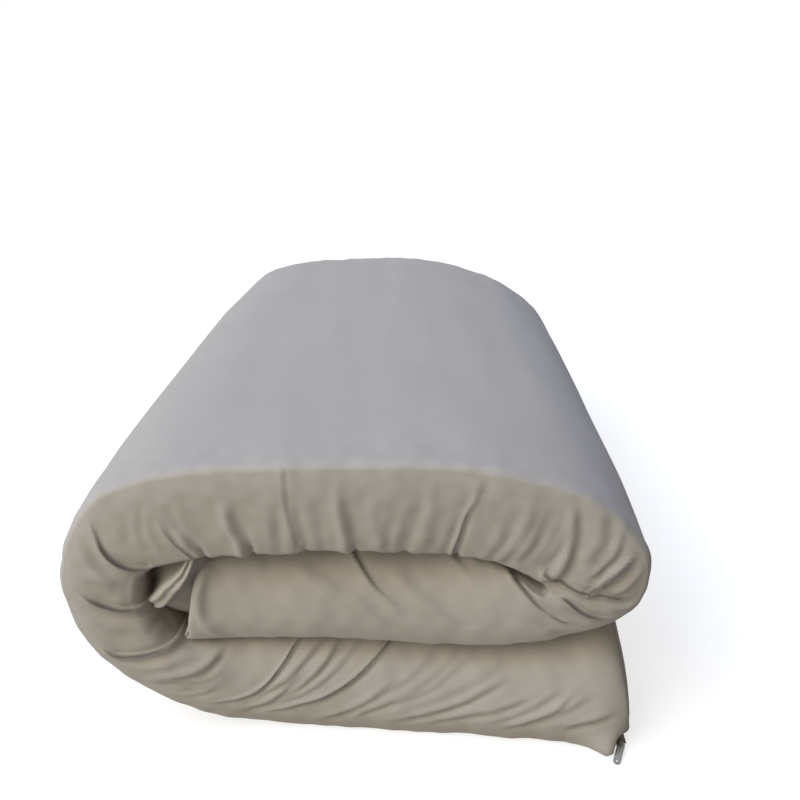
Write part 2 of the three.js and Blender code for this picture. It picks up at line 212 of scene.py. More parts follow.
FRONT_CREASES = (
    # Round the left turn, where the cover laps over itself.
    creased(LEFT, 5.5, 6.0, (-292, 316), (-287, 290), (-279, 262), (-264, 246), (-249, 239), (-230, 238),
            ridge=3.0, fold=Fold.LAP, fades=(0.7, 0.02)),
    creased(LEFT, 6.0, 5.2, (-326, 214), (-301, 197), (-277, 186), (-256, 184), (-226, 191),
            ridge=3.0, fold=Fold.LAP, fades=(0.35, 0.0)),
    creased(LEFT, 5.0, 4.5, (-305, 132), (-288, 117), (-261, 118), (-226, 127), (-195, 139),
            ridge=2.5, fold=Fold.LAP, fades=(0.25, 0.0)),
    creased(LOWER, 3.0, 6.0, (-258, 86), (-222, 86), (-187, 95), (-161, 114), (-138, 134),
            ridge=-3.0, fades=(0.3, 0.0)),
    creased(LOWER, 1.6, 6.0, (-285, 100), (-250, 98), (-215, 106), (-185, 118), ridge=1.2, fades=(0.4, 0.4)),
    creased(LEFT, 2.0, 9.0, (-330, 236), (-306, 228), (-280, 222), (-256, 222), ridge=1.0, fades=(0.4, 0.4)),
    creased(LEFT, 1.8, 8.0, (-318, 176), (-296, 164), (-272, 158), (-248, 160), ridge=1.2, fades=(0.3, 0.4)),
    creased(LEFT, 1.5, 6.0, (-310, 268), (-300, 248), (-286, 232), (-268, 224), ridge=1.0, fades=(0.4, 0.4)),
    # The bottom layer's drag lines, from under the layer above down to the left.
    creased(BOTTOM, 3.4, 2.0, (-30, 152), (-70, 116), (-86, 96), (-111, 68), (-132, 55), (-167, 46),
            (-197, 44), ridge=1.8, fold=Fold.SHARP, fades=(0.0, 0.4)),
    creased(BOTTOM, 2.0, 3.7, (-2, 152), (-31, 127), (-59, 102), (-81, 81), (-104, 66), (-133, 47),
            ridge=2.0, fades=(0.0, 0.3)),
    creased(BOTTOM, 1.7, 3.7, (-41, 100), (-72, 79), (-101, 53), (-125, 40), (-150, 29),
            ridge=1.8, fades=(0.3, 0.3)),
    creased(BOTTOM, 3.4, 2.0, (98, 152), (57, 122), (26, 98), (-3, 76), (-33, 58), (-63, 47), (-94, 36),
            (-124, 30), ridge=1.8, fold=Fold.SHARP, fades=(0.0, 0.3)),
    creased(BOTTOM, 1.7, 4.0, (59, 83), (36, 69), (6, 47), (-24, 32), (-55, 21), ridge=1.8, fades=(0.2, 0.3)),
    creased(BOTTOM, 1.2, 4.0, (59, 63), (26, 46), (-5, 28), ridge=1.4, fades=(0.2, 0.3)),
    creased(BOTTOM, 2.1, 4.0, (205, 97), (163, 75), (132, 57), (95, 43), (61, 32), (34, 23),
            ridge=2.2, fades=(0.25, 0.3)),
    creased(BOTTOM, 1.5, 4.0, (225, 74), (176, 53), (126, 38), (81, 23), ridge=1.6, fades=(0.2, 0.3)),
    creased(BOTTOM, 1.7, 4.0, (265, 68), (235, 49), (206, 36), (177, 24), ridge=1.6, fades=(0.2, 0.3)),
    creased(BOTTOM, 2.2, 4.8, (316, 60), (292, 50), (275, 43), (252, 33), ridge=3.0, fades=(0.2, 0.3)),
    # The middle layer's creases, slanting down from under the top layer.
    creased(MIDDLE, 2.4, 2.6, (-34, 290), (-13, 255), (6, 233), (27, 209), (47, 193), (67, 173),
            ridge=1.5, fold=Fold.SHARP, fades=(0.0, 0.5)),
    creased(MIDDLE, 3.0, 5.0, (66, 288), (95, 264), (110, 251), (124, 243), ridge=2.0, fades=(0.0, 0.5)),
    creased(MIDDLE, 4.2, 2.0, (136, 286), (179, 236), (199, 217), (223, 197), (252, 180),
            ridge=2.2, fold=Fold.SHARP, fades=(0.0, 0.35)),
    creased(MIDDLE, 4.6, 3.8, (150, 284), (195, 250), (220, 235), (249, 212), (273, 194), (295, 187),
            (316, 190), ridge=3.2, fold=Fold.LAP, fades=(0.0, 0.2)),
    creased(MIDDLE, 9.0, 9.0, (118, 288), (158, 266), (188, 253), (216, 242), ridge=0.0, fades=(0.3, 0.2)),
    creased(MIDDLE, 2.7, 2.0, (228, 192), (240, 185), (256, 177),
            ridge=1.0, fold=Fold.SHARP, fades=(0.3, 0.3)),
    creased(MIDDLE, 2.0, 5.0, (180, 205), (205, 190), (236, 170), (268, 160), ridge=1.5, fades=(0.4, 0.4)),
    # Round the right turn.
    creased(RIGHT, 3.8, 4.1, (270, 216), (281, 231), (293, 245), (308, 260), (325, 282),
            ridge=2.0, fold=Fold.LAP, fades=(0.05, 0.3)),
    creased(RIGHT, 3.8, 3.6, (222, 246), (245, 232), (268, 223), (298, 220), (314, 216), (330, 224),
            ridge=2.4, fold=Fold.LAP, fades=(0.0, 0.25)),
    creased(RIGHT, 2.5, 5.0, (262, 236), (284, 256), (300, 280), (306, 306), ridge=1.6, fades=(0.3, 0.4)),
    creased(RIGHT, 2.0, 5.0, (290, 206), (308, 202), (326, 204), (338, 214), ridge=1.4, fades=(0.3, 0.4)),
    # The top layer's pleats, from its lower edge up.
    creased(TOP, 3.2, 6.0, (218, 236), (234, 241), (243, 262), (247, 284), (249, 311), (243, 345),
            ridge=-2.4, fades=(0.0, 0.4)),
    creased(TOP, 3.0, 3.0, (114, 252), (119, 274), (125, 294), (131, 318), (142, 343), (146, 365),
            ridge=-1.8, fold=Fold.SHARP, fades=(0.0, 0.65)),
    creased(TOP, 3.2, 7.0, (-3, 252), (-3, 278), (-5, 300), (-10, 327), (-10, 354), (-6, 374),
            ridge=-1.5, fades=(0.0, 0.55)),
    creased(TOP, 1.9, 7.0, (74, 252), (78, 276), (86, 302), (93, 328), (96, 356), (105, 376),
            ridge=1.1, fades=(0.0, 0.55)),
    creased(TOP, 1.2, 6.0, (147, 370), (141, 336), (139, 306), ridge=0.5, fades=(0.3, 0.5)),
    creased(TOP, 3.9, 6.5, (-122, 252), (-125, 282), (-135, 307), (-138, 339), ridge=-2.0, fades=(0.0, 0.45)),
    creased(TOP, 0.7, 3.0, (-60, 262), (-67, 304), (-70, 328), (-72, 376), ridge=-0.8, fades=(0.1, 0.1)),
    creased(TOP, 2.2, 2.0, (-178, 248), (-189, 266), (-199, 279), (-211, 301), (-219, 320),
            ridge=-1.0, fold=Fold.SHARP, fades=(0.0, 0.75)),
    creased(TOP, 2.2, 4.0, (-170, 256), (-183, 275), (-195, 296), (-204, 316), ridge=-1.0, fades=(0.0, 0.5)),
    creased(TOP, 1.7, 7.0, (262, 258), (276, 284), (281, 312), (276, 336), ridge=-1.0, fades=(0.2, 0.3)),
    creased(TOP, 1.5, 8.0, (188, 262), (200, 290), (204, 318), (198, 346), ridge=0.8, fades=(0.2, 0.3)),
    creased(TOP, 1.5, 8.0, (36, 262), (34, 290), (30, 320), (30, 352), ridge=0.7, fades=(0.2, 0.4)),
    # Where the pleats end, the cloth stands out below the edge.
    creased(TOP, 3.5, 3.0, (7, 282), (8, 262), (9, 250), fold=Fold.RIDGE, fades=(0.6, 0.0)),
    creased(TOP, 3.2, 2.7, (-112, 284), (-111, 262), (-111, 248), fold=Fold.RIDGE, fades=(0.6, 0.0)),
    creased(TOP, 2.1, 3.4, (-50, 280), (-50, 262), (-50, 250), fold=Fold.RIDGE, fades=(0.6, 0.0)),
    creased(TOP, 2.5, 4.5, (66, 276), (66, 262), (66, 250), fold=Fold.RIDGE, fades=(0.6, 0.0)),
    creased(TOP, 2.8, 3.0, (126, 282), (124, 265), (123, 250), fold=Fold.RIDGE, fades=(0.6, 0.0)),
    creased(TOP, 2.5, 3.0, (-172, 280), (-168, 262), (-165, 248), fold=Fold.RIDGE, fades=(0.6, 0.0)),
    # The seam that stands up along the inner end, and the hollow beside it.
    creased(MIDDLE, 6.5, 2.9, (-203, 128), (-199, 158), (-194, 187), (-189, 212), (-183, 236),
            fold=Fold.RIDGE, fades=(0.02, 0.1)),
    creased(MIDDLE, 3.5, 7.0, (-170, 240), (-177, 214), (-181, 190), (-178, 166), (-160, 146), (-138, 138),
            fades=(0.2, 0.3)),
)

# Fainter creases of the same run, between two that frame them.
FRONT_FANS = (
    Fan(BOTTOM, deep=1.4, wide=3.5, ridge=1.4, fades=(0.05, 0.4), count=4, seed=21,
        first=((-28, 150), (-62, 112), (-98, 74), (-140, 50), (-190, 42)),
        last=((84, 148), (44, 112), (0, 76), (-50, 48), (-108, 32))),
    Fan(BOTTOM, deep=1.3, wide=3.7, ridge=1.2, fades=(0.1, 0.4), count=4, seed=22,
        first=((110, 140), (72, 104), (30, 72), (-10, 48), (-46, 30)),
        last=((230, 110), (180, 84), (136, 62), (88, 42), (40, 26))),
    Fan(BOTTOM, deep=1.3, wide=3.7, ridge=1.2, fades=(0.2, 0.4), count=3, seed=23,
        first=((240, 92), (206, 66), (170, 44), (130, 28)),
        last=((318, 84), (290, 62), (262, 46), (228, 30))),
    Fan(LOWER, deep=1.3, wide=3.7, ridge=-1.4, fades=(0.3, 0.1), count=4, seed=24,
        first=((-270, 92), (-232, 88), (-190, 92), (-158, 108), (-134, 132)),
        last=((-218, 44), (-180, 50), (-144, 62), (-106, 84), (-62, 122))),
    Fan(MIDDLE, deep=2.2, wide=4.2, ridge=1.6, fades=(0.0, 0.5), count=5, seed=25,
        first=((30, 288), (52, 264), (76, 244), (100, 228)),
        last=((134, 286), (160, 258), (182, 236), (204, 214))),
    Fan(MIDDLE, deep=2.2, wide=4.0, ridge=1.5, fades=(0.05, 0.3), count=3, seed=26,
        first=((142, 282), (188, 246), (232, 208), (276, 184)),
        last=((186, 262), (230, 236), (270, 208), (308, 198))),
    Fan(MIDDLE, deep=1.2, wide=6.0, ridge=1.0, fades=(0.3, 0.4), count=5, seed=27, wander=8.0,
        first=((-120, 232), (-84, 206), (-50, 184), (-16, 166)),
        last=((60, 236), (96, 204), (130, 180), (166, 162))),
    Fan(RIGHT, deep=1.8, wide=4.4, ridge=1.4, fades=(0.1, 0.5), count=4, seed=28,
        first=((268, 232), (290, 256), (306, 284), (308, 312)),
        last=((300, 216), (320, 226), (334, 240), (340, 252))),
    Fan(TOP, deep=1.1, wide=6.0, ridge=1.0, fades=(0.1, 0.5), count=4, seed=29,
        first=((-250, 262), (-252, 290), (-246, 318), (-236, 342)),
        last=((-160, 262), (-166, 290), (-168, 320), (-166, 348))),
    Fan(TOP, deep=0.7, wide=5.5, ridge=-1.2, fades=(0.0, 0.5), count=4, seed=30,
        first=((-104, 256), (-106, 286), (-108, 318), (-108, 350)),
        last=((-14, 256), (-16, 286), (-20, 318), (-22, 350))),
    Fan(TOP, deep=1.1, wide=5.5, ridge=-1.2, fades=(0.0, 0.5), count=5, seed=31,
        first=((14, 256), (16, 286), (20, 318), (26, 350)),
        last=((116, 256), (124, 286), (134, 318), (146, 350))),
    Fan(TOP, deep=1.1, wide=5.5, ridge=-1.2, fades=(0.0, 0.5), count=5, seed=32,
        first=((136, 256), (148, 286), (158, 318), (164, 350)),
        last=((232, 256), (254, 284), (268, 310), (274, 334))),
    Fan(TOP, deep=1.1, wide=5.0, ridge=-1.2, fades=(0.1, 0.4), count=3, seed=33,
        first=((256, 250), (280, 276), (296, 300), (300, 318)),
        last=((276, 232), (304, 250), (322, 268), (328, 284))),
)

# The far side, which doesn't show: pleats of the same kind, plainer and placed freely.
BACK_CREASES = (
    creased(LEFT, 4.5, 8.0, (-300, 300), (-290, 272), (-270, 250), (-240, 240), ridge=3.0, fades=(0.4, 0.0)),
    creased(LEFT, 4.5, 8.0, (-322, 196), (-296, 180), (-268, 176), (-238, 184), ridge=2.5, fades=(0.3, 0.0)),
    creased(LOWER, 3.5, 8.0, (-280, 104), (-246, 102), (-210, 110), (-176, 126), ridge=2.0, fades=(0.3, 0.0)),
    creased(MIDDLE, 4.0, 6.0, (-90, 284), (-62, 250), (-34, 220), (-6, 196), ridge=2.6, fades=(0.0, 0.4)),
    creased(MIDDLE, 4.0, 6.0, (104, 284), (136, 252), (172, 224), (214, 198), ridge=2.6, fades=(0.0, 0.4)),
    creased(MIDDLE, 3.0, 6.0, (170, 268), (206, 244), (244, 216), (284, 196), ridge=2.2, fades=(0.0, 0.3)),
    creased(RIGHT, 4.0, 6.0, (262, 218), (280, 234), (298, 252), (316, 276), ridge=2.4, fades=(0.05, 0.3)),
    creased(RIGHT, 3.5, 6.0, (232, 238), (264, 222), (298, 216), (330, 222), ridge=2.0, fades=(0.0, 0.25)),
    creased(TOP, 4.0, 8.0, (-150, 252), (-154, 284), (-160, 316), (-160, 346), ridge=-3.0, fades=(0.0, 0.4)),
    creased(TOP, 4.0, 8.0, (-40, 252), (-42, 284), (-50, 320), (-54, 356), ridge=-3.0, fades=(0.0, 0.3)),
    creased(TOP, 3.5, 7.0, (60, 252), (66, 284), (74, 320), (76, 352), ridge=2.4, fades=(0.0, 0.3)),
    creased(TOP, 4.0, 7.0, (166, 246), (178, 274), (184, 304), (182, 332), ridge=-3.0, fades=(0.0, 0.4)),
)
BACK_FANS = (
    Fan(BOTTOM, deep=2.6, wide=6.0, ridge=2.0, fades=(0.0, 0.4), count=9, seed=41, wander=8.0,
        first=((-60, 140), (-92, 104), (-128, 70), (-170, 48)),
        last=((300, 96), (250, 70), (196, 46), (140, 28))),
    Fan(TOP, deep=1.8, wide=7.0, ridge=1.4, fades=(0.0, 0.5), count=12, seed=42, wander=6.0,
        first=((-220, 258), (-224, 290), (-220, 320), (-210, 344)),
        last=((226, 250), (240, 276), (250, 300), (252, 322))),
    Fan(MIDDLE, deep=1.8, wide=6.0, ridge=1.4, fades=(0.05, 0.5), count=7, seed=43, wander=6.0,
        first=((-120, 270), (-96, 240), (-70, 212), (-40, 190)),
        last=((150, 272), (180, 242), (212, 214), (250, 190))),
)

# The corner of the cover that lies on the floor by the zip: how far it reaches out, along X.
EAR = ((262, 0), (278, 2), (290, 6), (302, 12), (311, 18), (316, 19), (320, 14), (325, 5), (331, 1))

# How far the sides bulge and how round the edges inside the turns are, by the section's rows.
BULGE = ((0, 9), (9, 11), (14, 12), (18, 9), (28, 8), (32, 10), (36, 9), (44, 8))
INNER_EDGE = (
    (0, 12), (8, 14), (10, 18), (12, 22), (14, 16), (16, 13),
    (19, 11), (26, 11), (29, 6), (35, 5), (38, 12), (44, 14),
)
# How much farther back the edge inside the turns lies, in the shade of the layer above, by the rows.
RECESS = (
    (0, 68), (3, 60), (6, 38), (8, 22), (10, 5), (11, 0),
    (35, 0), (37, 22), (39, 50), (42, 48), (43, 34), (44, 20),
)
# How much wider the upper layers are along the roll than at its front: a share of the most, by Y.
SWELL = (
    (-500, 0.0), (-430, 0.45), (-330, 0.85), (-150, 1.0), (100, 1.0), (300, 0.75), (430, 0.2), (500, -0.4),
)

# Where the slider lies against the cover, how far round it the cloth gives, and by how much.
SLIDER_MIDDLE = np.array((329.0, -503.0, 6.0))
SLIDER_REACH = np.array((22.0, 20.0, 22.0))
SLIDER_PRESS = np.array((-1.0, 3.6, 6.8))
# Over the coil the cloth is lifted: fully from the second X on, between two Ys and below a height.
COIL_FROM = (322.0, 326.0)
COIL_ENDS = (-503.0, 477.0)
COIL_BELOW = 9.0
COIL_LIFT = 1.3


@dataclass(frozen=True)
class EndRound:
    """How a short end is rounded: along the mattress, and in from its faces and sides."""

    along: float
    outer: float
    inner: float
    side: float
    puff: float


@dataclass(frozen=True)
class Station:
    """Values at every ring along the winding, one array each."""

    out: np.ndarray
    inside: np.ndarray
    drift: np.ndarray
    slump: np.ndarray
    trim_outer: np.ndarray
    trim_inner: np.ndarray
    trim_side: np.ndarray
    row: np.ndarray
    along: np.ndarray


def smoothstep(low: float, high: float, value: np.ndarray) -> np.ndarray:
    """The usual smooth ramp from 0 at low to 1 at high."""
    share = np.clip((value - low) / (high - low), 0.0, 1.0)
    return share * share * (3.0 - 2.0 * share)


def bell(value: np.ndarray, middle: float = 0.0, wide: float = 1.0) -> np.ndarray:
    """A bell curve, which is 1 at its middle and 0.37 a width away from it."""
    return np.exp(-(((value - middle) / wide) ** 2))


class SmoothLine:
    """A centripetal Catmull-Rom curve through points of any dimension."""

    ROOT = 0.25  # of the squared distance, which makes the curve centripetal

    def __init__(self, points: np.ndarray) -> None:
        """Keeps the points, with one more past each end.

        Args:
            points: one row for each point of the curve.
        """
        before = 2 * points[0] - points[1]
        after = 2 * points[-1] - points[-2]
        self.points = np.vstack([before, points, after])
        self.spans = len(points) - 1

    def at(self, row: np.ndarray) -> np.ndarray:
        """The curve's points.

        Args:
            row: places along the curve, counted in its own points from 0.

        Returns:
            One row of coordinates for each place.
        """
        span = np.clip(np.floor(row).astype(int), 0, self.spans - 1)
        t = (row - span)[:, None]
        p0, p1, p2, p3 = (self.points[span + k] for k in range(4))
        d0, d1, d2 = (
            (((b - a) ** 2).sum(1) ** self.ROOT)[:, None] for a, b in ((p0, p1), (p1, p2), (p2, p3))
        )
        m1 = ((p1 - p0) / d0 - (p2 - p0) / (d0 + d1) + (p2 - p1) / d1) * d1
        m2 = ((p2 - p1) / d1 - (p3 - p1) / (d1 + d2) + (p3 - p2) / d2) * d1
        square = (3 * (p2 - p1) - 2 * m1 - m2) * t * t
        cube = (2 * (p1 - p2) + m1 + m2) * t * t * t
        return p1 + m1 * t + square + cube


class Zone(Enum):
    """The parts of a ring round the mattress."""

    SIDE = "a long side"
    EDGE = "a rounded edge"
    FACE = "a face"


@dataclass(frozen=True)
class Column:
    """One line of vertices along the winding.

    end is -1 at the front and 1 at the back, and up is 1 towards the outer face and -1
    towards the inner one. share is how far it lies into its zone, and stride is the number
    of rings from one of its vertices to the next.
    """

    zone: Zone
    end: int
    up: int
    share: float
    stride: int

    @property
    def depth(self) -> float:
        """How far from its end the column lies, as a share of the mattress's width."""
        return self.share if self.zone is Zone.FACE else 0.0


@dataclass
class RingLayout:
    """How the columns lie round the mattress, from the inner face's middle to the front."""

    side_up: int = 22
    side_down: int = 17
    edge_outer: int = 6
    edge_inner: int = 10
    face_depths: tuple[float, ...] = (0.004, 0.010, 0.018, 0.030, 0.048, 0.075, 0.115, 0.17, 0.24, 0.32, 0.41)
    fine_face: int = 4
    fine: int = 1
    back: int = 2
    coarse: int = 4
    columns: list[Column] = field(default_factory=list)

    def __post_init__(self) -> None:
        """Lists the columns in ring order."""
        inner_front = self._face(-1, -1)
        side_front = self._side(-1)
        outer_front = self._face(-1, 1)
        middle = Column(Zone.FACE, -1, 1, 0.5, self.coarse)
        half = inner_front[::-1] + side_front + outer_front + [middle]
        outer_back = self._face(1, 1)
        side_back = self._side(1)
        inner_back = self._face(1, -1)
        under = Column(Zone.FACE, -1, -1, 0.5, self.coarse)
        self.columns = [under] + half + outer_back[::-1] + side_back[::-1] + inner_back
        self.front_first = 1 + len(inner_front)
        self.side_count = len(side_front)

    def _face(self, end: int, up: int) -> list[Column]:
        """The columns of half a face, from the edge inwards.

        Args:
            end: -1 at the front and 1 at the back.
            up: 1 on the outer face and -1 on the inner one.

        Returns:
            The columns.
        """
        found = []
        for k, depth in enumerate(self.face_depths):
            fine = end < 0 and k < self.fine_face
            stride = self.fine if fine else self.coarse
            if end > 0 and k < self.fine_face:
                stride = self.back
            found.append(Column(Zone.FACE, end, up, depth, stride))
        return found

    def _side(self, end: int) -> list[Column]:
        """The columns of a side with its two edges, from the inner face to the outer one.

        Args:
            end: -1 at the front and 1 at the back.

        Returns:
            The columns.
        """
        stride = self.fine if end < 0 else self.back
        parts = (
            (Zone.EDGE, -1, self.edge_inner, range(self.edge_inner, 0, -1)),
            (Zone.SIDE, -1, self.side_down, range(self.side_down, 0, -1)),
            (Zone.SIDE, 1, self.side_up, range(0, self.side_up + 1)),
            (Zone.EDGE, 1, self.edge_outer, range(1, self.edge_outer + 1)),
        )
        return [Column(zone, end, up, k / most, stride) for zone, up, most, steps in parts for k in steps]


class Waves:
    """Smooth seeded unevenness along a line or over a plane, about 1 at most."""

    def __init__(self, seed: int, longest: float, shortest: float, count: int = 7) -> None:
        """Draws the waves.

        Args:
            seed: the random draw's seed.
            longest: the longest wave, in millimetres.
            shortest: the shortest wave, in millimetres.
            count: how many waves are added up.
        """
        rng = np.random.default_rng(seed)
        lengths = np.geomspace(longest, shortest, count)
        angle = rng.uniform(0, 2 * math.pi, count)
        self.wave = (2 * math.pi / lengths)[:, None] * np.stack([np.cos(angle), np.sin(angle)], 1)
        self.phase = rng.uniform(0, 2 * math.pi, count)
        self.size = np.sqrt(lengths / longest)
        self.size /= self.size.sum() * 0.6

    def at(self, first: np.ndarray, second: np.ndarray) -> np.ndarray:
        """The unevenness at places given by two coordinates in millimetres.

        Args:
            first: the places' first coordinates.
            second: their second coordinates.

        Returns:
            One value for each place.
        """
        total = np.zeros(np.broadcast(first, second).shape)
        for (a, b), phase, size in zip(self.wave, self.phase, self.size):
            total += size * np.sin(a * first + b * second + phase)
        return total


class Relief:
    """Works out how far a side's cover stands out or falls in for a set of creases."""

    REACH = 6.0  # how many widths away a crease still moves the cloth
    STEPS = 8  # straight bits for each span of a crease's line
    DRAW = 6.0  # how near a sharp crease places are drawn to it, in millimetres
    PULL = 1.9  # how strongly they are drawn: 1 leaves them where they are
    FINE_RIDGE = 3.0  # the widest ridge that places are drawn to, in millimetres
    FAINT = 0.05  # a crease's painted shade, above which no painted highlight is drawn over it
    SETTLE = 0.6  # the rows over which a crease comes in at its layer's limits

    def __init__(self, creases: tuple[Crease, ...]) -> None:
        """Keeps the creases that this relief holds."""
        self.creases = creases

    def height(self, x: np.ndarray, z: np.ndarray, row: np.ndarray) -> tuple[np.ndarray, np.ndarray]:
        """The relief at places on a side.

        Args:
            x: places across the roll.
            z: their heights.
            row: the section's row that each place belongs to.

        Returns:
            How far each place moves out, and the shade painted for how deep it lies in a crease: 1 in a sharp
            one, and below 0 where a highlight is painted on the cloth beside it.
        """
        total = np.zeros(x.shape)
        shade = np.zeros(x.shape)
        for crease in self.creases:
            points, near = self._near(crease, crease.wide * self.REACH, x, z, row)
            if not near.any():
                continue
            side, along, _ = self._place(points, x[near], z[near])
            fade = self._fade(crease, along, row[near])
            moved, dark = self._profile(crease, side)
            total[near] += moved * fade
            # Painted shade keeps the darkest crease; a painted highlight shows only where little shade lies.
            deepest = np.maximum(shade[near], dark * fade)
            shade_or_highlight = np.where(shade[near] > self.FAINT, shade[near], dark * fade)
            shade[near] = np.where(dark < 0, shade_or_highlight, deepest)
        return total, shade

    def gather(self, x: np.ndarray, z: np.ndarray, row: np.ndarray) -> tuple[np.ndarray, np.ndarray]:
        """Moves the places next to a sharp crease closer to its line, so that it is drawn crisply.

        Args:
            x: places across the roll.
            z: their heights.
            row: the section's row that each place belongs to.

        Returns:
            How far each place moves across the roll, and up.
        """
        to_x, to_z = x.copy(), z.copy()
        for crease in self.creases:
            if crease.fold is Fold.SOFT or (crease.fold is Fold.RIDGE and crease.wide > self.FINE_RIDGE):
                continue
            points, near = self._near(crease, self.DRAW, to_x, to_z, row)
            if not near.any():
                continue
            side, along, left = self._place(points, to_x[near], to_z[near])
            share = np.clip(np.abs(side) / self.DRAW, 0, 1)
            move = np.sign(side) * self.DRAW * share**self.PULL - side
            move *= self._fade(crease, along, row[near]) * (share < 1) * (along > 0) * (along < 1)
            to_x[near] += move * left[:, 0]
            to_z[near] += move * left[:, 1]
        return to_x - x, to_z - z

    def _near(
        self, crease: Crease, reach: float, x: np.ndarray, z: np.ndarray, row: np.ndarray
    ) -> tuple[np.ndarray, np.ndarray]:
        """The points of a crease's line, and which places lie within reach of its box.

        Args:
            crease: the crease.
            reach: how far outside the line's box a place may lie.
            x: places across the roll.
            z: their heights.
            row: the section's row that each place belongs to.

        Returns:
            The line's points, and a mask of the places.
        """
        line = SmoothLine(np.array(crease.line, float))
        points = line.at(np.linspace(0, line.spans, line.spans * self.STEPS + 1))
        low, high = points.min(0) - reach, points.max(0) + reach
        first, last = crease.layer.value
        near = (x > low[0]) & (x < high[0]) & (z > low[1]) & (z < high[1])
        return points, near & (row >= first) & (row <= last)

    def _fade(self, crease: Crease, along: np.ndarray, row: np.ndarray) -> np.ndarray:
        """How much of a crease is left along its line and towards the ends of its layer.

        Args:
            crease: the crease.
            along: places along its line, as shares of its length.
            row: the section's row that each place belongs to.

        Returns:
            A share for each place.
        """
        first, last = crease.layer.value
        fade_in, fade_out = (max(f, 0.01) for f in crease.fades)
        fade = smoothstep(0, fade_in, along) * smoothstep(1, 1 - fade_out, along)
        if first > 0.0:
            fade *= smoothstep(first, first + self.SETTLE, row)
        if last < len(SECTION) - 1:
            fade *= smoothstep(last, last - self.SETTLE, row)
        return fade

    @staticmethod
    def _place(
        points: np.ndarray, x: np.ndarray, z: np.ndarray
    ) -> tuple[np.ndarray, np.ndarray, np.ndarray]:
        """Places by a line: the distance from it, above 0 on its left, the share along it, the way left.

        Args:
            points: the line's points.
            x: places across the roll.
            z: their heights.

        Returns:
            The distances, the shares and the directions.
        """
        lengths = np.linalg.norm(np.diff(points, axis=0), axis=1)
        starts = np.concatenate([[0], np.cumsum(lengths)])
        best = np.full(x.shape, 1e9)
        side = np.zeros(x.shape)
        along = np.zeros(x.shape)
        way = np.zeros((*x.shape, 2))
        for k in range(len(points) - 1):
            a = points[k]
            step = (points[k + 1] - a) / lengths[k]
            dx, dz = x - a[0], z - a[1]
            raw = dx * step[0] + dz * step[1]
            on = np.clip(raw, 0, lengths[k])
            px, pz = dx - on * step[0], dz - on * step[1]
            distance = np.hypot(px, pz)
            closer = distance < best
            best = np.where(closer, distance, best)
            left = np.sign(step[0] * pz - step[1] * px)
            side = np.where(closer, distance * np.where(left == 0, 1.0, left), side)
            along = np.where(closer, (starts[k] + on) / starts[-1], along)
            way[closer] = (-step[1], step[0])
        return side, along, way

    @staticmethod
    def _profile(crease: Crease, side: np.ndarray) -> tuple[np.ndarray, np.ndarray]:
        """The relief across a crease, and its darkness.

        Args:
            crease: the crease.
            side: distances from its line, above 0 on its left.

        Returns:
            How far each place moves out, and how dark it is: below 0 where it is lit.
        """
        # Each bell has its middle and its width: millimetres for the shade, widths for the relief.
        wide, deep, ridge = crease.wide, crease.deep, crease.ridge
        away = np.abs(side) / wide
        # lit is the highlight painted beside a crease, and dark the shade painted in it.
        lit = 0.5 * bell(np.abs(side), 2.6, 1.1)
        if crease.fold is Fold.RIDGE:
            # A raised pleat or seam gets a painted highlight along it.
            return deep * bell(away), -0.5 * bell(away)
        if crease.fold is Fold.LAP:
            over = ridge * bell(side, 0.0, 1.5 * wide)
            under = -deep * np.exp(-(away**1.3)) + 0.35 * ridge * bell(side / wide, -2.4)
            blend = smoothstep(-1.6, 1.6, side)
            dark = bell(side, -0.5, 1.25) + 0.15 * bell(side, -4.0, 4.0) * (side < 0)
            return under * (1 - blend) + over * blend, dark - lit * (side > 0)
        soft = crease.fold is Fold.SOFT
        moved = -deep * np.exp(-(away ** (2.0 if soft else 1.5)))
        if soft:
            moved -= 0.3 * deep * bell(away, 0.0, 2.6)
        tilt = math.copysign(1.0, ridge)
        moved += abs(ridge) * bell(side * tilt / wide, 1.8, 1.1)
        if soft:
            return moved, 0.12 * bell(away * 1.4)
        return moved, 0.9 * bell(side, 0.0, 1.35) - lit * (side * tilt > 0)


def mesh_object(name: str, points: np.ndarray, faces: list[tuple[int, ...]]) -> bpy.types.Object:
    """A new object from points in metres and faces.

    Args:
        name: the object's name.
        points: one row of coordinates for each vertex.
        faces: each face's vertices.

    Returns:
        The object, linked to the scene.
    """
    mesh = bpy.data.meshes.new(name)
    mesh.from_pydata(points.tolist(), [], faces)
    mesh.update()
    made = bpy.data.objects.new(name, mesh)
    bpy.context.scene.collection.objects.link(made)
    return made


def select_only(obj: bpy.types.Object) -> None:
    """Makes one object the only selected and active one.

    Args:
        obj: the object.
    """
    for other in bpy.context.selected_objects:
        other.select_set(False)
    bpy.context.view_layer.objects.active = obj
    obj.select_set(True)


@contextmanager
def editing(everything: bool = True) -> Iterator[None]:
    """Works on the active object's mesh.

    Args:
        everything: whether all of it is selected first.

    Returns:
        A context that leaves edit mode at its end.
    """
    bpy.ops.object.mode_set(mode="EDIT")
    if everything:
        bpy.ops.mesh.select_all(action="SELECT")
    yield
    bpy.ops.object.mode_set(mode="OBJECT")


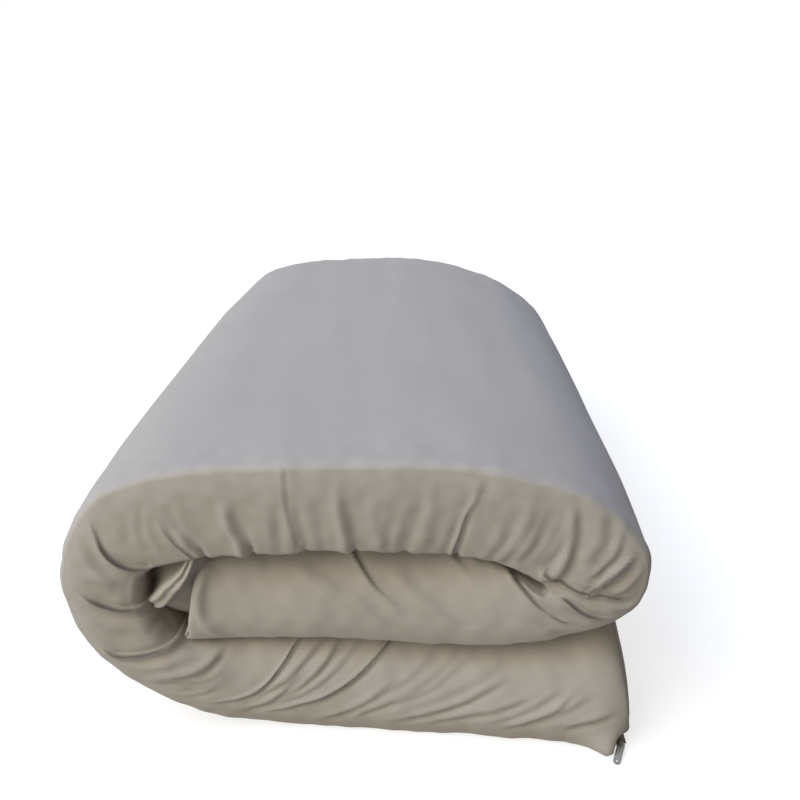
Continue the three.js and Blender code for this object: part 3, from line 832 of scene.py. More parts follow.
@dataclass
class RolledMattress:
    """The mattress: foam in its knitted cover, wound in three layers."""

    width: float = 1000.0
    outer_edge: float = 10.0
    most_edge: float = 0.4  # of the thickness
    bulge_power: int = 3
    recess_power: float = 2.8
    swell_left: float = 0.043
    swell_right: float = 0.019
    swell_from: tuple[float, float] = (140.0, 230.0)  # the heights between which it comes in
    creased_face: float = 0.12  # how far over a face a side's creases run
    ear_height: tuple[float, float] = (38.0, 3.0)
    # How far slack cloth stands out or falls in, and how far the edges wander.
    face_slack: float = 1.4
    rim_slack: float = 0.8
    side_slack: float = 1.3
    fine_slack: float = 0.45
    outer_wander: float = 0.6
    inner_wander: float = 1.2
    rim: float = 0.02  # the share of a face that counts as its rim
    outer_end: EndRound = EndRound(45, 24, 22, 14, 15)
    inner_end: EndRound = EndRound(8, 7, 7, 5, 2)
    end_rings: int = 8
    rings: int = 832
    cap_rings: int = 6  # how far back the way that an end faces is taken from
    fill: float = 0.75
    layout: RingLayout = field(default_factory=RingLayout)

    def build(self) -> bpy.types.Object:
        """Makes the mattress.

        Returns:
            The finished object, without its material.
        """
        stations = self._stations()
        grid = self._grid(stations)
        self._gather(grid, stations)
        relief, shade = self._relief(grid, stations)
        normals = self._normals(grid)
        grid = grid + normals * relief[..., None]
        self._ear(grid)
        grid[..., 2] = np.maximum(grid[..., 2], 0.0)
        return self._mesh(grid, shade, stations)

    def _stations(self) -> Station:
        """Spreads the rings evenly along the winding, with closer ones round both ends.

        Returns:
            The values at every ring.
        """
        outer = SmoothLine(np.array([(r.out_x, r.out_z) for r in SECTION], float))
        inner = SmoothLine(np.array([(r.in_x, r.in_z) for r in SECTION], float))
        rows = len(SECTION) - 1
        fine = np.linspace(0, rows, rows * 40 + 1)
        steps_out = np.linalg.norm(np.diff(outer.at(fine), axis=0), axis=1)
        steps_in = np.linalg.norm(np.diff(inner.at(fine), axis=0), axis=1)
        length = np.concatenate([[0], np.cumsum(0.6 * steps_out + 0.4 * steps_in)])
        length_out = np.concatenate([[0], np.cumsum(steps_out)])
        turn = np.linspace(0, math.pi / 2, self.end_rings + 1)
        drawn = 1 - np.sin(turn)
        start = np.interp(self.outer_end.along * (1 - np.cos(turn)), length_out, fine)
        reach = length_out[-1] - self.inner_end.along * (1 - np.cos(turn))
        finish = np.interp(reach, length_out, fine)[::-1]
        first, last = np.interp([start[-1], finish[0]], fine, length)
        inner_count = self.rings - 2 * (self.end_rings + 1)
        between = np.interp(np.linspace(first, last, inner_count + 2)[1:-1], length, fine)
        row = np.concatenate([start, between, finish])
        zero = np.zeros(inner_count)

        def trim(at_start: float, at_finish: float) -> np.ndarray:
            """One trim at every ring."""
            return np.concatenate([at_start * drawn, zero, (at_finish * drawn)[::-1]])

        table = np.arange(len(SECTION))
        return Station(
            out=outer.at(row),
            inside=inner.at(row),
            drift=np.interp(row, table, [r.drift for r in SECTION]),
            slump=np.interp(row, table, [r.slump for r in SECTION]),
            trim_outer=trim(self.outer_end.outer, self.inner_end.outer),
            trim_inner=trim(self.outer_end.inner, self.inner_end.inner),
            trim_side=trim(self.outer_end.side, self.inner_end.side),
            row=row,
            along=np.interp(row, fine, length),
        )

    def _grid(self, st: Station) -> np.ndarray:
        """Every column's point at every ring, in millimetres in the roll's own place.

        Args:
            st: the values at every ring.

        Returns:
            The points, by ring and column.
        """
        across = st.out - st.inside
        thick = np.linalg.norm(across, axis=1)
        across /= thick[:, None]
        thick = thick - st.trim_outer - st.trim_inner
        face = st.out - across * st.trim_outer[:, None]
        middle = face - across * (thick / 2)[:, None]
        half = thick / 2
        front = st.trim_side - self.width / 2
        back = self.width / 2 - st.trim_side
        recess = np.interp(st.row, *zip(*RECESS))

        size = np.interp(st.row, *zip(*BULGE))
        inner_edge = np.interp(st.row, *zip(*INNER_EDGE))

        def bulge(height: np.ndarray) -> np.ndarray:
            """How far the side stands out at a height from its middle."""
            return size * (1 - np.abs(height / half) ** self.bulge_power)

        grid = np.zeros((len(st.row), len(self.layout.columns), 3))
        for j, column in enumerate(self.layout.columns):
            radius = np.minimum(self.outer_edge if column.up > 0 else inner_edge, thick * self.most_edge)
            straight = half - radius
            plane = front if column.end < 0 else back
            if column.zone is Zone.SIDE:
                height = straight * column.share
                y = plane + column.end * bulge(height)
            elif column.zone is Zone.EDGE:
                turn = math.pi / 2 * column.share
                out = (radius + bulge(straight)) * math.cos(turn) - radius
                height = straight + radius * math.sin(turn)
                y = plane + column.end * out
            else:
                height = half
                if column.share == 0.5:
                    y = (front + back) / 2
                else:
                    y = plane + column.end * (-radius - (back - front - 2 * radius) * column.share)
            height = height * column.up
            y = y - st.drift
            if column.end < 0:
                inwards = np.clip(0.5 - height / thick, 0, 1) ** self.recess_power
                y = y + recess * inwards * smoothstep(0.5, 0.0, np.array(column.depth))
            to_back = smoothstep(-self.width / 2, self.width / 2, y)
            low = st.slump * to_back * (0.5 + height / thick)
            grid[:, j, 0] = middle[:, 0] + across[:, 0] * height
            grid[:, j, 1] = y
            grid[:, j, 2] = np.maximum(middle[:, 1] + across[:, 1] * height - low, 0.0)
        swell = np.interp(grid[..., 1], *zip(*SWELL)) * smoothstep(*self.swell_from, grid[..., 2])
        most = np.where(grid[..., 0] < 0, self.swell_left, self.swell_right)
        grid[..., 0] *= 1 + swell * most
        return grid

    @staticmethod
    def _normals(grid: np.ndarray) -> np.ndarray:
        """The outward normal at every point of a ring grid.

        Args:
            grid: the points, by ring and column.

        Returns:
            The normals, each 1 long.
        """
        along = np.gradient(grid, axis=0)
        around = np.roll(grid, -1, axis=1) - np.roll(grid, 1, axis=1)
        normal = np.cross(around, along)
        return normal / np.maximum(np.linalg.norm(normal, axis=2, keepdims=True), 1e-9)

    def _relief(self, grid: np.ndarray, st: Station) -> tuple[np.ndarray, np.ndarray]:
        """How far each point moves along its normal, and the shade painted on its crease.

        Args:
            grid: the points, by ring and column.
            st: the values at every ring.

        Returns:
            The moves in millimetres, and the painted crease shade.
        """
        columns = self.layout.columns
        relief = np.zeros(grid.shape[:2])
        shade = np.zeros(grid.shape[:2])
        for end, creases, fans in ((-1, FRONT_CREASES, FRONT_FANS), (1, BACK_CREASES, BACK_FANS)):
            drawn = creases + tuple(crease for fan in fans for crease in fan.creases())
            near = [j for j, c in enumerate(columns) if c.end == end and c.depth < self.creased_face]
            row = np.repeat(st.row[:, None], len(near), 1)
            height, dark = Relief(drawn).height(grid[:, near, 0], grid[:, near, 2], row)
            trough = np.array([self._fade(columns[j], 0.8) for j in near])
            ridge = np.array([self._fade(columns[j], 0.1) for j in near])
            relief[:, near] = np.where(height < 0, height * trough, height * ridge)
            shade[:, near] = dark * trough
        # Slack cloth: soft hollows over the sides, and edges that aren't straight. What is added to
        # a place keeps the waves of the two ends, and of the two faces, from being alike.
        slack = Waves(seed=11, longest=170, shortest=26)
        fine = Waves(seed=12, longest=60, shortest=14)
        edge = Waves(seed=13, longest=150, shortest=22)
        for j, column in enumerate(columns):
            if column.zone is Zone.FACE:
                size = self.face_slack if column.share > self.rim else self.rim_slack
                relief[:, j] += size * slack.at(st.along, grid[:, j, 1] * 0.6 + 400 * column.up)
                continue
            offset = 900 * column.end
            relief[:, j] += self.side_slack * slack.at(grid[:, j, 0] + offset, grid[:, j, 2])
            relief[:, j] += self.fine_slack * fine.at(grid[:, j, 0] + offset, grid[:, j, 2])
            if column.zone is Zone.EDGE:
                size = self.outer_wander if column.up > 0 else self.inner_wander
                bend = math.sin(math.pi / 2 * column.share)
                relief[:, j] += size * bend * edge.at(st.along + offset, 300.0 * column.up)
        return relief, shade

    @staticmethod
    def _fade(column: Column, loss: float) -> float:
        """How much of a side's creases is left at a column, with a loss over the inner edge.

        Args:
            column: the column.
            loss: the share that the inner edge takes away.

        Returns:
            A share.
        """
        if column.zone is Zone.SIDE:
            return 1.0
        if column.up > 0:
            left = 1.0 - column.share if column.zone is Zone.EDGE else 0.0
            return left**0.8
        if column.zone is Zone.EDGE:
            return 1.0 - loss * column.share
        return (1.0 - loss) * max(0.0, 1.0 - column.share / 0.1)

    def _gather(self, grid: np.ndarray, st: Station) -> None:
        """Draws the front side's points to its sharp creases.

        Args:
            grid: the points, by ring and column, which it changes.
            st: the values at every ring.
        """
        near = [j for j, c in enumerate(self.layout.columns) if c.end < 0 and c.zone is not Zone.FACE]
        row = np.repeat(st.row[:, None], len(near), 1)
        move_x, move_z = Relief(FRONT_CREASES).gather(grid[:, near, 0], grid[:, near, 2], row)
        keep = np.array([self._hold(self.layout.columns[j]) for j in near])
        grid[:, near, 0] += move_x * keep
        grid[:, near, 2] += move_z * keep

    @staticmethod
    def _hold(column: Column) -> float:
        """How freely a column's points may be drawn to a crease.

        Args:
            column: the column.

        Returns:
            A share, 0 where they stay.
        """
        if column.zone is Zone.SIDE:
            return 1.0 if column.up < 0 else float(smoothstep(1.0, 0.85, np.array(column.share)))
        return 1.0 - column.share if column.up < 0 else 0.0

    def _ear(self, grid: np.ndarray) -> None:
        """Draws the cover out to a flat corner on the floor, beside the zip's end.

        Args:
            grid: the points, by ring and column, which it changes.
        """
        for j, column in enumerate(self.layout.columns):
            if column.end > 0 or column.zone is Zone.FACE:
                continue
            out = np.interp(grid[:, j, 0], *zip(*EAR))
            grid[:, j, 1] -= out * smoothstep(*self.ear_height, grid[:, j, 2])

    def _mesh(self, grid: np.ndarray, shade: np.ndarray, st: Station) -> bpy.types.Object:
        """Turns the grid into one closed mesh, with its cloth map and crease shade.

        Args:
            grid: the points, by ring and column.
            shade: the crease shade at each of them.
            st: the values at every ring.

        Returns:
            The mattress's object.
        """
        columns = self.layout.columns
        count, wide = grid.shape[:2]
        keeps = [self._keep(c.stride, count) for c in columns]
        number = np.full((count, wide), -1)
        total = 0
        for j, keep in enumerate(keeps):
            number[keep, j] = np.arange(total, total + len(keep))
            total += len(keep)
        points = np.zeros((total, 3))
        map_u = np.zeros(total)
        map_v = np.zeros(total)
        dark = np.zeros(total)
        middle = next(j for j, c in enumerate(columns) if c.share == 0.5 and c.up > 0)
        steps = np.linalg.norm(np.diff(grid, axis=1), axis=2)
        around = np.concatenate([np.zeros((count, 1)), np.cumsum(steps, axis=1)], axis=1)
        around -= around[:, middle:middle + 1]
        for j, keep in enumerate(keeps):
            at = number[keep, j]
            points[at] = grid[keep, j]
            map_u[at] = st.along[keep]
            map_v[at] = around[keep, j]
            dark[at] = shade[keep, j]
        faces = []
        for j in range(wide):
            after = (j + 1) % wide
            faces += self._strip(number[:, j], number[:, after], keeps[j], keeps[after])
        seam_faces = len(faces)
        extra = []
        for ring, puff, sign in ((0, self.outer_end.puff, 1), (count - 1, self.inner_end.puff, -1)):
            cap_faces, cap_points = self._cap(grid, number, ring, puff, sign, total + len(extra))
            faces += cap_faces
            extra += cap_points
        points = np.vstack([points, np.array(extra)])
        map_u = np.concatenate([map_u, np.array([0.3 * p[2] for p in extra])])
        map_v = np.concatenate([map_v, np.array([p[1] for p in extra])])
        dark = np.concatenate([dark, np.zeros(len(extra))])
        made = mesh_object("rolled_mattress", self._clear_of_zip(points + SHIFT) * MM, faces)
        self._attributes(made, map_u, map_v, dark, around)
        LOG.info("mattress: %d vertices, %d faces, %d round the winding", len(points), len(faces), seam_faces)
        return made

    @staticmethod
    def _clear_of_zip(placed: np.ndarray) -> np.ndarray:
        """Presses the cloth back a little where the zip's slider and coil lie against it.

        Args:
            placed: the vertices in millimetres, in the frame's place.

        Returns:
            The same vertices, those near the zip moved.
        """
        away = (placed - SLIDER_MIDDLE) / SLIDER_REACH
        near = np.clip(1.0 - np.sum(away**2, axis=1), 0.0, 1.0) ** 2
        x, y, z = placed.T
        over = np.clip((x - COIL_FROM[0]) / (COIL_FROM[1] - COIL_FROM[0]), 0.0, 1.0)
        over *= np.clip(1.0 - z / COIL_BELOW, 0.0, 1.0) * ((y > COIL_ENDS[0]) & (y < COIL_ENDS[1]))
        moved = placed + near[:, None] * SLIDER_PRESS
        moved[:, 2] += COIL_LIFT * over
        return moved

    def _keep(self, stride: int, count: int) -> np.ndarray:
        """The rings at which a column has a vertex: all of them near the ends.

        Args:
            stride: the number of rings from one vertex to the next.
            count: how many rings there are.

        Returns:
            The rings' numbers.
        """
        ends = self.end_rings + 1
        inner = np.arange(ends, count - ends, stride)
        return np.unique(np.concatenate([np.arange(ends + 1), inner, np.arange(count - ends - 1, count)]))

    @staticmethod
    def _strip(
        a: np.ndarray, b: np.ndarray, keep_a: np.ndarray, keep_b: np.ndarray
    ) -> list[tuple[int, ...]]:
        """The faces between two neighbouring columns, which may have different rings.

        Args:
            a: the first column's vertex number at every ring, or -1.
            b: the second column's.
            keep_a: the rings at which the first column has a vertex.
            keep_b: the rings at which the second one has.

        Returns:
            The faces, which point outwards.
        """
        both = np.intersect1d(keep_a, keep_b)
        faces = []
        for low, high in zip(both[:-1], both[1:]):
            run_a = [a[k] for k in range(low, high + 1) if a[k] >= 0]
            run_b = [b[k] for k in range(low, high + 1) if b[k] >= 0]
            if len(run_a) == 2 and len(run_b) == 2:
                faces.append((run_a[0], run_a[1], run_b[1], run_b[0]))
                continue
            i = k = 0
            while i < len(run_a) - 1 or k < len(run_b) - 1:
                share_a = i / max(len(run_a) - 1, 1) if i < len(run_a) - 1 else 2.0
                share_b = k / max(len(run_b) - 1, 1) if k < len(run_b) - 1 else 2.0
                if share_a <= share_b:
                    faces.append((run_a[i], run_a[i + 1], run_b[k]))
                    i += 1
                else:
                    faces.append((run_a[i], run_b[k + 1], run_b[k]))
                    k += 1
        return faces

    def _cap(
        self, grid: np.ndarray, number: np.ndarray, ring: int, puff: float, sign: int, start: int
    ) -> tuple[list[tuple[int, ...]], list[np.ndarray]]:
        """Closes an end with a net between its two sides and its two faces.

        Args:
            grid: the points of every ring.
            number: the vertex numbers of every ring.
            ring: the ring to close.
            puff: how far the middle stands out.
            sign: 1 at the outer end and -1 at the inner end.
            start: the first vertex number that is free.

        Returns:
            The faces, and the points inside the net.
        """
        wide = grid.shape[1]
        side = self.layout.side_count
        first = self.layout.front_first
        half_face = (wide - 2 * side) // 2
        front = np.arange(first, first + side)
        top = np.arange(first + side, first + side + half_face)
        back = np.arange(first + side + half_face, first + 2 * side + half_face)[::-1]
        under = np.concatenate([np.arange(first + 2 * side + half_face, wide), np.arange(0, first)])[::-1]
        rows, cols = side, half_face + 2
        net = np.full((rows, cols), -1)
        place = np.zeros((rows, cols, 3))
        for table, values in ((net, number[ring]), (place, grid[ring])):
            table[:, 0], table[:, -1] = values[front], values[back]
            table[0, 1:-1], table[-1, 1:-1] = values[under], values[top]
        outward = np.mean(grid[ring] - grid[ring + sign * self.cap_rings], axis=0)
        outward /= np.linalg.norm(outward)
        extra = []
        span = place[0, -1, 1] - place[0, 0, 1]
        for r in range(1, rows - 1):
            v = r / (rows - 1)
            for c in range(1, cols - 1):
                u = (place[0, c, 1] - place[0, 0, 1]) / span
                edge = (1 - u) * place[r, 0] + u * place[r, -1] + (1 - v) * place[0, c] + v * place[-1, c]
                corner = (
                    (1 - u) * (1 - v) * place[0, 0]
                    + u * (1 - v) * place[0, -1]
                    + (1 - u) * v * place[-1, 0]
                    + u * v * place[-1, -1]
                )
                swell = puff * (1 - (2 * v - 1) ** 2) * (1 - (2 * u - 1) ** 6)
                extra.append(edge - corner + outward * swell)
                net[r, c] = start + len(extra) - 1
        faces = []
        for r in range(rows - 1):
            for c in range(cols - 1):
                quad = (net[r, c], net[r, c + 1], net[r + 1, c + 1], net[r + 1, c])
                faces.append(quad[::-1] if sign > 0 else quad)
        return faces, extra

    @staticmethod
    def _attributes(
        made: bpy.types.Object, map_u: np.ndarray, map_v: np.ndarray, dark: np.ndarray, around: np.ndarray
    ) -> None:
        """Writes the cloth map, in metres along and round the cloth, and the painted crease shade and
        highlight.

        Args:
            made: the mattress's object.
            map_u: each vertex's place along the cloth, in millimetres.
            map_v: its place round it.
            dark: its painted crease shade, below 0 for a painted highlight.
            around: the lengths round every ring, by column.
        """
        mesh = made.data
        mesh.validate()
        loops = np.zeros(len(mesh.loops), int)
        mesh.loops.foreach_get("vertex_index", loops)
        u, v = map_u[loops] * MM, map_v[loops] * MM
        # The ring closes at the inner face's middle, where the map would run back across it.
        starts = np.zeros(len(mesh.polygons), int)
        totals = np.zeros(len(mesh.polygons), int)
        mesh.polygons.foreach_get("loop_start", starts)
        mesh.polygons.foreach_get("loop_total", totals)
        owner = np.repeat(np.arange(len(mesh.polygons)), totals)
        low = np.full(len(mesh.polygons), 1e9)
        high = np.full(len(mesh.polygons), -1e9)
        np.minimum.at(low, owner, v)
        np.maximum.at(high, owner, v)
        length = np.median(around[:, -1] - around[:, 0]) * MM
        across = (high - low)[owner] > 0.5 * length
        v = np.where(across & (v < 0), v + length, v)
        layer = mesh.uv_layers.new(name="cloth")
        layer.data.foreach_set("uv", np.stack([u, v], 1).ravel())
        # The crease attribute holds painted shade in the creases, and below 0 a painted highlight beside
        # them.
        shade = mesh.attributes.new("crease", "FLOAT", "POINT")
        shade.data.foreach_set("value", dark.astype(np.float32))


@dataclass
class Tuck:
    """The cover's slack that stands up as a fold inside the left turn, in the roll's own place."""

    # Its middle across the roll, how thick it is there, and where its front edge lies.
    path: tuple[tuple[float, float, float, float], ...] = (
        (-270, 160, 12, -462), (-256, 166, 15, -474), (-242, 176, 18, -490), (-227, 190, 19, -503),
        (-213, 207, 18, -508), (-202, 218, 15, -508), (-193, 230, 12, -505), (-187, 242, 10, -501),
        (-182, 254, 8, -497),
    )
    # Its front edge across the fold: share of half its thickness, and how far behind the front.
    rim: tuple[tuple[float, float], ...] = (
        (-1.0, 12), (-0.97, 5), (-0.84, 1.2), (-0.62, 0), (-0.4, 0.8), (-0.22, 2.2), (0.0, 2.8),
        (0.2, 1.8), (0.42, 0.4), (0.64, 0), (0.85, 1.2), (0.97, 5), (1.0, 12),
    )
    # How far behind its front edge it has points, and how far it has spread there to each side.
    depths: tuple[tuple[float, float, float], ...] = (
        (18, 0, 10), (26, 1, 26), (38, 8, 44), (52, 22, 54), (76, 36, 58), (116, 34, 48), (180, 8, 10),
        (420, 0, 0), (700, 0, 0), (930, 0, 0),
    )
    back: float = 486.0
    steps: int = 34
    step_long: float = 4.2
    root: float = 0.96  # the share of its height above which it is thinner
    root_thick: float = 0.72
    pucker: float = 1.5
    puckered: float = 30.0  # how far behind its front edge it is puckered
    sway: float = 2.0

    def build(self) -> bpy.types.Object:
        """Makes the fold as a closed sheet with a hemmed front edge.

        Returns:
            The fold's object.
        """
        line = SmoothLine(np.array(self.path, float))
        spots = line.at(np.linspace(0, line.spans, self.steps + 1))
        tangent = np.gradient(spots[:, :2], axis=0)
        tangent /= np.linalg.norm(tangent, axis=1)[:, None]
        normal = np.stack([tangent[:, 1], -tangent[:, 0]], 1)
        ripple = Waves(seed=51, longest=30, shortest=7)
        sway = Waves(seed=52, longest=400, shortest=90)
        rings = []
        for k, (spot, across) in enumerate(zip(spots, normal)):
            x, z, thick, front = spot
            share = np.array(k / self.steps)
            half = thick / 2 * (1.0 if share < self.root else self.root_thick)
            pucker = self.pucker * smoothstep(0.2, 0.4, share) * smoothstep(0.85, 0.6, share)
            spread = float(smoothstep(0.0, 0.25, share) * smoothstep(1.0, 0.8, share))
            loop = [(side, front + behind, 0.0) for side, behind in self.rim]
            loop += [(1.0, front + depth, right * spread) for depth, _, right in self.depths]
            loop += [(0.9, self.back - 4, 0.0), (0.5, self.back, 0.0), (0.0, self.back + 1, 0.0)]
            loop += [(-0.5, self.back, 0.0), (-0.9, self.back - 4, 0.0)]
            loop += [(-1.0, front + depth, -left * spread) for depth, left, _ in self.depths[::-1]]
            ring = []
            for side, y, more in loop:
                wave = 0.0
                if y < front + self.puckered:
                    wave = float(ripple.at(np.array(k * self.step_long), np.array(side * 9.0))) * pucker
                swing = self.sway * float(sway.at(np.array(y), share * 60.0))
                out = half * side + more + swing * float(smoothstep(front + 20, front + 200, np.array(y)))
                ring.append((x + across[0] * out, y - wave, z + across[1] * out))
            rings.append(ring)
        points = np.array(rings)
        count, wide = points.shape[:2]
        faces = []
        for k in range(count - 1):
            for j in range(wide):
                after = (j + 1) % wide
                faces.append((k * wide + j, k * wide + after, (k + 1) * wide + after, (k + 1) * wide + j))
        flat = points.reshape(-1, 3)
        for ring, flip in ((0, True), (count - 1, False)):
            faces += self._end(ring * wide, wide, flip)
        made = mesh_object("tuck", (flat + SHIFT) * MM, faces)
        layer = made.data.uv_layers.new(name="cloth")
        for loop in made.data.loops:
            ring, place = divmod(loop.vertex_index, wide)
            back = points[ring, place, 1] * MM + 0.01 * self._side(place)
            layer.data[loop.index].uv = (ring * self.step_long * MM, back)
        made.data.attributes.new("crease", "FLOAT", "POINT")
        select_only(made)
        with editing():
            bpy.ops.mesh.normals_make_consistent(inside=False)
        LOG.info("tuck: %d vertices", len(flat))
        return made

    def _side(self, place: int) -> float:
        """The share across the fold of a point of its ring."""
        return self.rim[place][0] if place < len(self.rim) else 1.0

    def _end(self, first: int, wide: int, flip: bool) -> list[tuple[int, ...]]:
        """Closes an end ring with strips between its two long sides.

        Args:
            first: the ring's first vertex.
            wide: how many vertices the ring has.
            flip: whether the end faces the other way.

        Returns:
            The faces.
        """
        rim = len(self.rim)
        middle = rim // 2
        right = [middle + k for k in range(wide // 2 + 1)]
        left = [(middle - k) % wide for k in range(wide // 2 + 1)]
        faces = []
        for k in range(wide // 2):
            corners = [right[k], right[k + 1], left[k + 1], left[k]]
            kept = list(dict.fromkeys(corners))
            if len(kept) > 2:
                faces.append(tuple(first + c for c in (kept[::-1] if flip else kept)))
        return faces


def unite(body: bpy.types.Object, piece: bpy.types.Object) -> None:
    """Joins a piece to a body as one closed mesh, and removes the piece.

    Args:
        body: the object that stays.
        piece: the object whose root is sunk in it.
    """
    select_only(body)
    join = body.modifiers.new("join", "BOOLEAN")
    join.operation = "UNION"
    join.solver = "MANIFOLD"
    join.object = piece
    bpy.ops.object.modifier_apply(modifier=join.name)
    bpy.data.objects.remove(piece, do_unlink=True)


VALUE, VECTOR = "NodeSocketFloat", "NodeSocketVector"


class NodeTree:
    """A small helper that adds and links the nodes of a material or a group."""

    def __init__(self, tree: bpy.types.NodeTree) -> None:
        """Keeps the tree that it adds to."""
        self.tree = tree

    def add(self, kind: str, inputs: dict | None = None, **settings: object) -> bpy.types.Node:
        """Adds a node.

        Args:
            kind: the node's type name.
            inputs: values or output sockets, by the input's name or number.
            settings: the node's own properties.

        Returns:
            The node.
        """
        node = self.tree.nodes.new(kind)
        for name, value in settings.items():
            setattr(node, name, value)
        for name, value in (inputs or {}).items():
            if isinstance(value, bpy.types.NodeSocket):
                self.tree.links.new(value, node.inputs[name])
            else:
                node.inputs[name].default_value = value
        return node

    def link(self, value: bpy.types.NodeSocket, place: bpy.types.NodeSocket) -> None:
        """Links an output to an input."""
        self.tree.links.new(value, place)

    def math(
        self, kind: str, first: object, second: object = 0.5, third: object = 0.5
    ) -> bpy.types.NodeSocket:
        """A Math node's result."""
        return self.add("ShaderNodeMath", {0: first, 1: second, 2: third}, operation=kind).outputs[0]

    def ramp(self, value: object, low: float, high: float) -> bpy.types.NodeSocket:
        """A smooth step of a value, from 0 at low to 1 at high."""
        inputs = {"Value": value, "From Min": low, "From Max": high}
        return self.add("ShaderNodeMapRange", inputs, interpolation_type="SMOOTHSTEP").outputs["Result"]

    def clamped(self, value: object) -> bpy.types.NodeSocket:
        """A value held between 0 and 1."""
        return self.add("ShaderNodeClamp", {"Value": value}).outputs[0]

    def scaled(self, value: object, factor: object) -> bpy.types.NodeSocket:
        """A colour or a vector times a factor."""
        return self.add("ShaderNodeVectorMath", {0: value, "Scale": factor}, operation="SCALE").outputs[0]

    def mixed(self, factor: object, first: tuple, second: tuple) -> bpy.types.NodeSocket:
        """A mix of two colours, the first one where the factor is 0."""
        inputs = {"Factor": factor, 6: (*first, 1), 7: (*second, 1)}
        return self.add("ShaderNodeMix", inputs, data_type="RGBA").outputs[2]

    def patches(self, mottle: bpy.types.NodeTree, scale: float, amount: float) -> bpy.types.NodeSocket:
        """A factor about 1 that varies softly over a piece.

        Args:
            mottle: the colour variation's node group.
            scale: how fine the patches are.
            amount: how much they vary.

        Returns:
            The factor.
        """
        place = self.add("ShaderNodeTexCoord").outputs["Object"]
        inputs = {"Vector": place, "Scale": scale, "Amount": amount}
        return self.add("ShaderNodeGroup", inputs, node_tree=mottle).outputs["Factor"]

    def bump(self, strength: float, distance: float, height: object, **more: object) -> bpy.types.NodeSocket:
        """A bump's normal."""
        inputs = {"Strength": strength, "Distance": distance, "Height": height, **more}
        return self.add("ShaderNodeBump", inputs).outputs[0]


def node_group(
    name: str, inputs: dict[str, tuple[str, object]], outputs: tuple[str, ...]
) -> tuple[NodeTree, bpy.types.Node, bpy.types.Node]:
    """A new shader node group, whose outputs are all values.

    Args:
        name: the group's name.
        inputs: each input's socket type and value, by its name.
        outputs: the outputs' names.

    Returns:
        A helper that adds to the group, and its input and output nodes.
    """
    group = bpy.data.node_groups.new(name, "ShaderNodeTree")
    for label, (kind, value) in inputs.items():
        socket = group.interface.new_socket(label, in_out="INPUT", socket_type=kind)
        if value is not None:
            socket.default_value = value
    for label in outputs:
        group.interface.new_socket(label, in_out="OUTPUT", socket_type=VALUE)
    tree = NodeTree(group)
    return tree, tree.add("NodeGroupInput"), tree.add("NodeGroupOutput")


def mottle_group() -> bpy.types.NodeTree:
    """A group that varies a colour softly over the cloth, as handling and dye do.

    Returns:
        The group: Factor is what a colour is multiplied by.
    """
    inputs = {"Vector": (VECTOR, None), "Scale": (VALUE, 6.0), "Amount": (VALUE, 0.06)}
    tree, ins, outs = node_group("mottle", inputs, ("Factor",))
    noise = {"Vector": ins.outputs["Vector"], "Scale": ins.outputs["Scale"], "Detail": 3.0, "Roughness": 0.55}
    broad = tree.add("ShaderNodeTexNoise", noise).outputs["Fac"]
    varied = tree.math("MULTIPLY", tree.math("SUBTRACT", broad, 0.5), ins.outputs["Amount"])
    tree.link(tree.math("ADD", varied, 1.0), outs.inputs["Factor"])
    return tree.tree


def knit_group() -> bpy.types.NodeTree:
    """A group with the knit's fine courses and its faint figure of small raised dots in diamonds.

    Returns:
        The group: Height is the cloth's surface and Figure the mask of its dots.
    """
    inputs = {
        "Vector": (VECTOR, None), "Course": (VALUE, 900.0), "Dot": (VALUE, 1130.0), "Diamond": (VALUE, 226.0),
    }
    tree, ins, outs = node_group("knit", inputs, ("Height", "Figure"))
    split = tree.add("ShaderNodeSeparateXYZ", {"Vector": ins.outputs["Vector"]})
    u, v = split.outputs["X"], split.outputs["Y"]

    def waves(label: str) -> list[bpy.types.NodeSocket]:
        """A cosine along the cloth and one round it, at the pitch of one of the group's inputs."""
        return [tree.math("COSINE", tree.math("MULTIPLY", way, ins.outputs[label])) for way in (u, v)]

    dots = tree.ramp(tree.math("MULTIPLY", *waves("Dot")), 0.15, 0.85)
    inside = tree.ramp(tree.math("ADD", *waves("Diamond")), -0.5, 0.5)
    figure = tree.math("MULTIPLY", dots, inside)
    # The courses: small loops all over.
    fine = tree.scaled(ins.outputs["Vector"], ins.outputs["Course"])
    cells = {"Vector": fine, "Scale": 1.0, "Randomness": 0.35}
    loops = tree.add("ShaderNodeTexVoronoi", cells, voronoi_dimensions="2D").outputs["Distance"]
    height = tree.math("MULTIPLY_ADD", loops, -0.3, tree.math("MULTIPLY", figure, 0.5))
    tree.link(tree.math("ADD", height, 1.0), outs.inputs["Height"])
    tree.link(figure, outs.inputs["Figure"])
    return tree.tree


def new_finish(name: str, **values: float) -> tuple[bpy.types.Material, NodeTree, bpy.types.Node]:
    """A new material.

    Args:
        name: the material's name.
        values: the shader's own values, by the inputs' names with low lines for spaces.

    Returns:
        The material, a helper that adds to its nodes, and its shader.
    """
    made = bpy.data.materials.new(name)
    made.use_nodes = True
    shader = made.node_tree.nodes["Principled BSDF"]
    for label, value in values.items():
        shader.inputs[label.replace("_", " ")].default_value = value
    return made, NodeTree(made.node_tree), shader


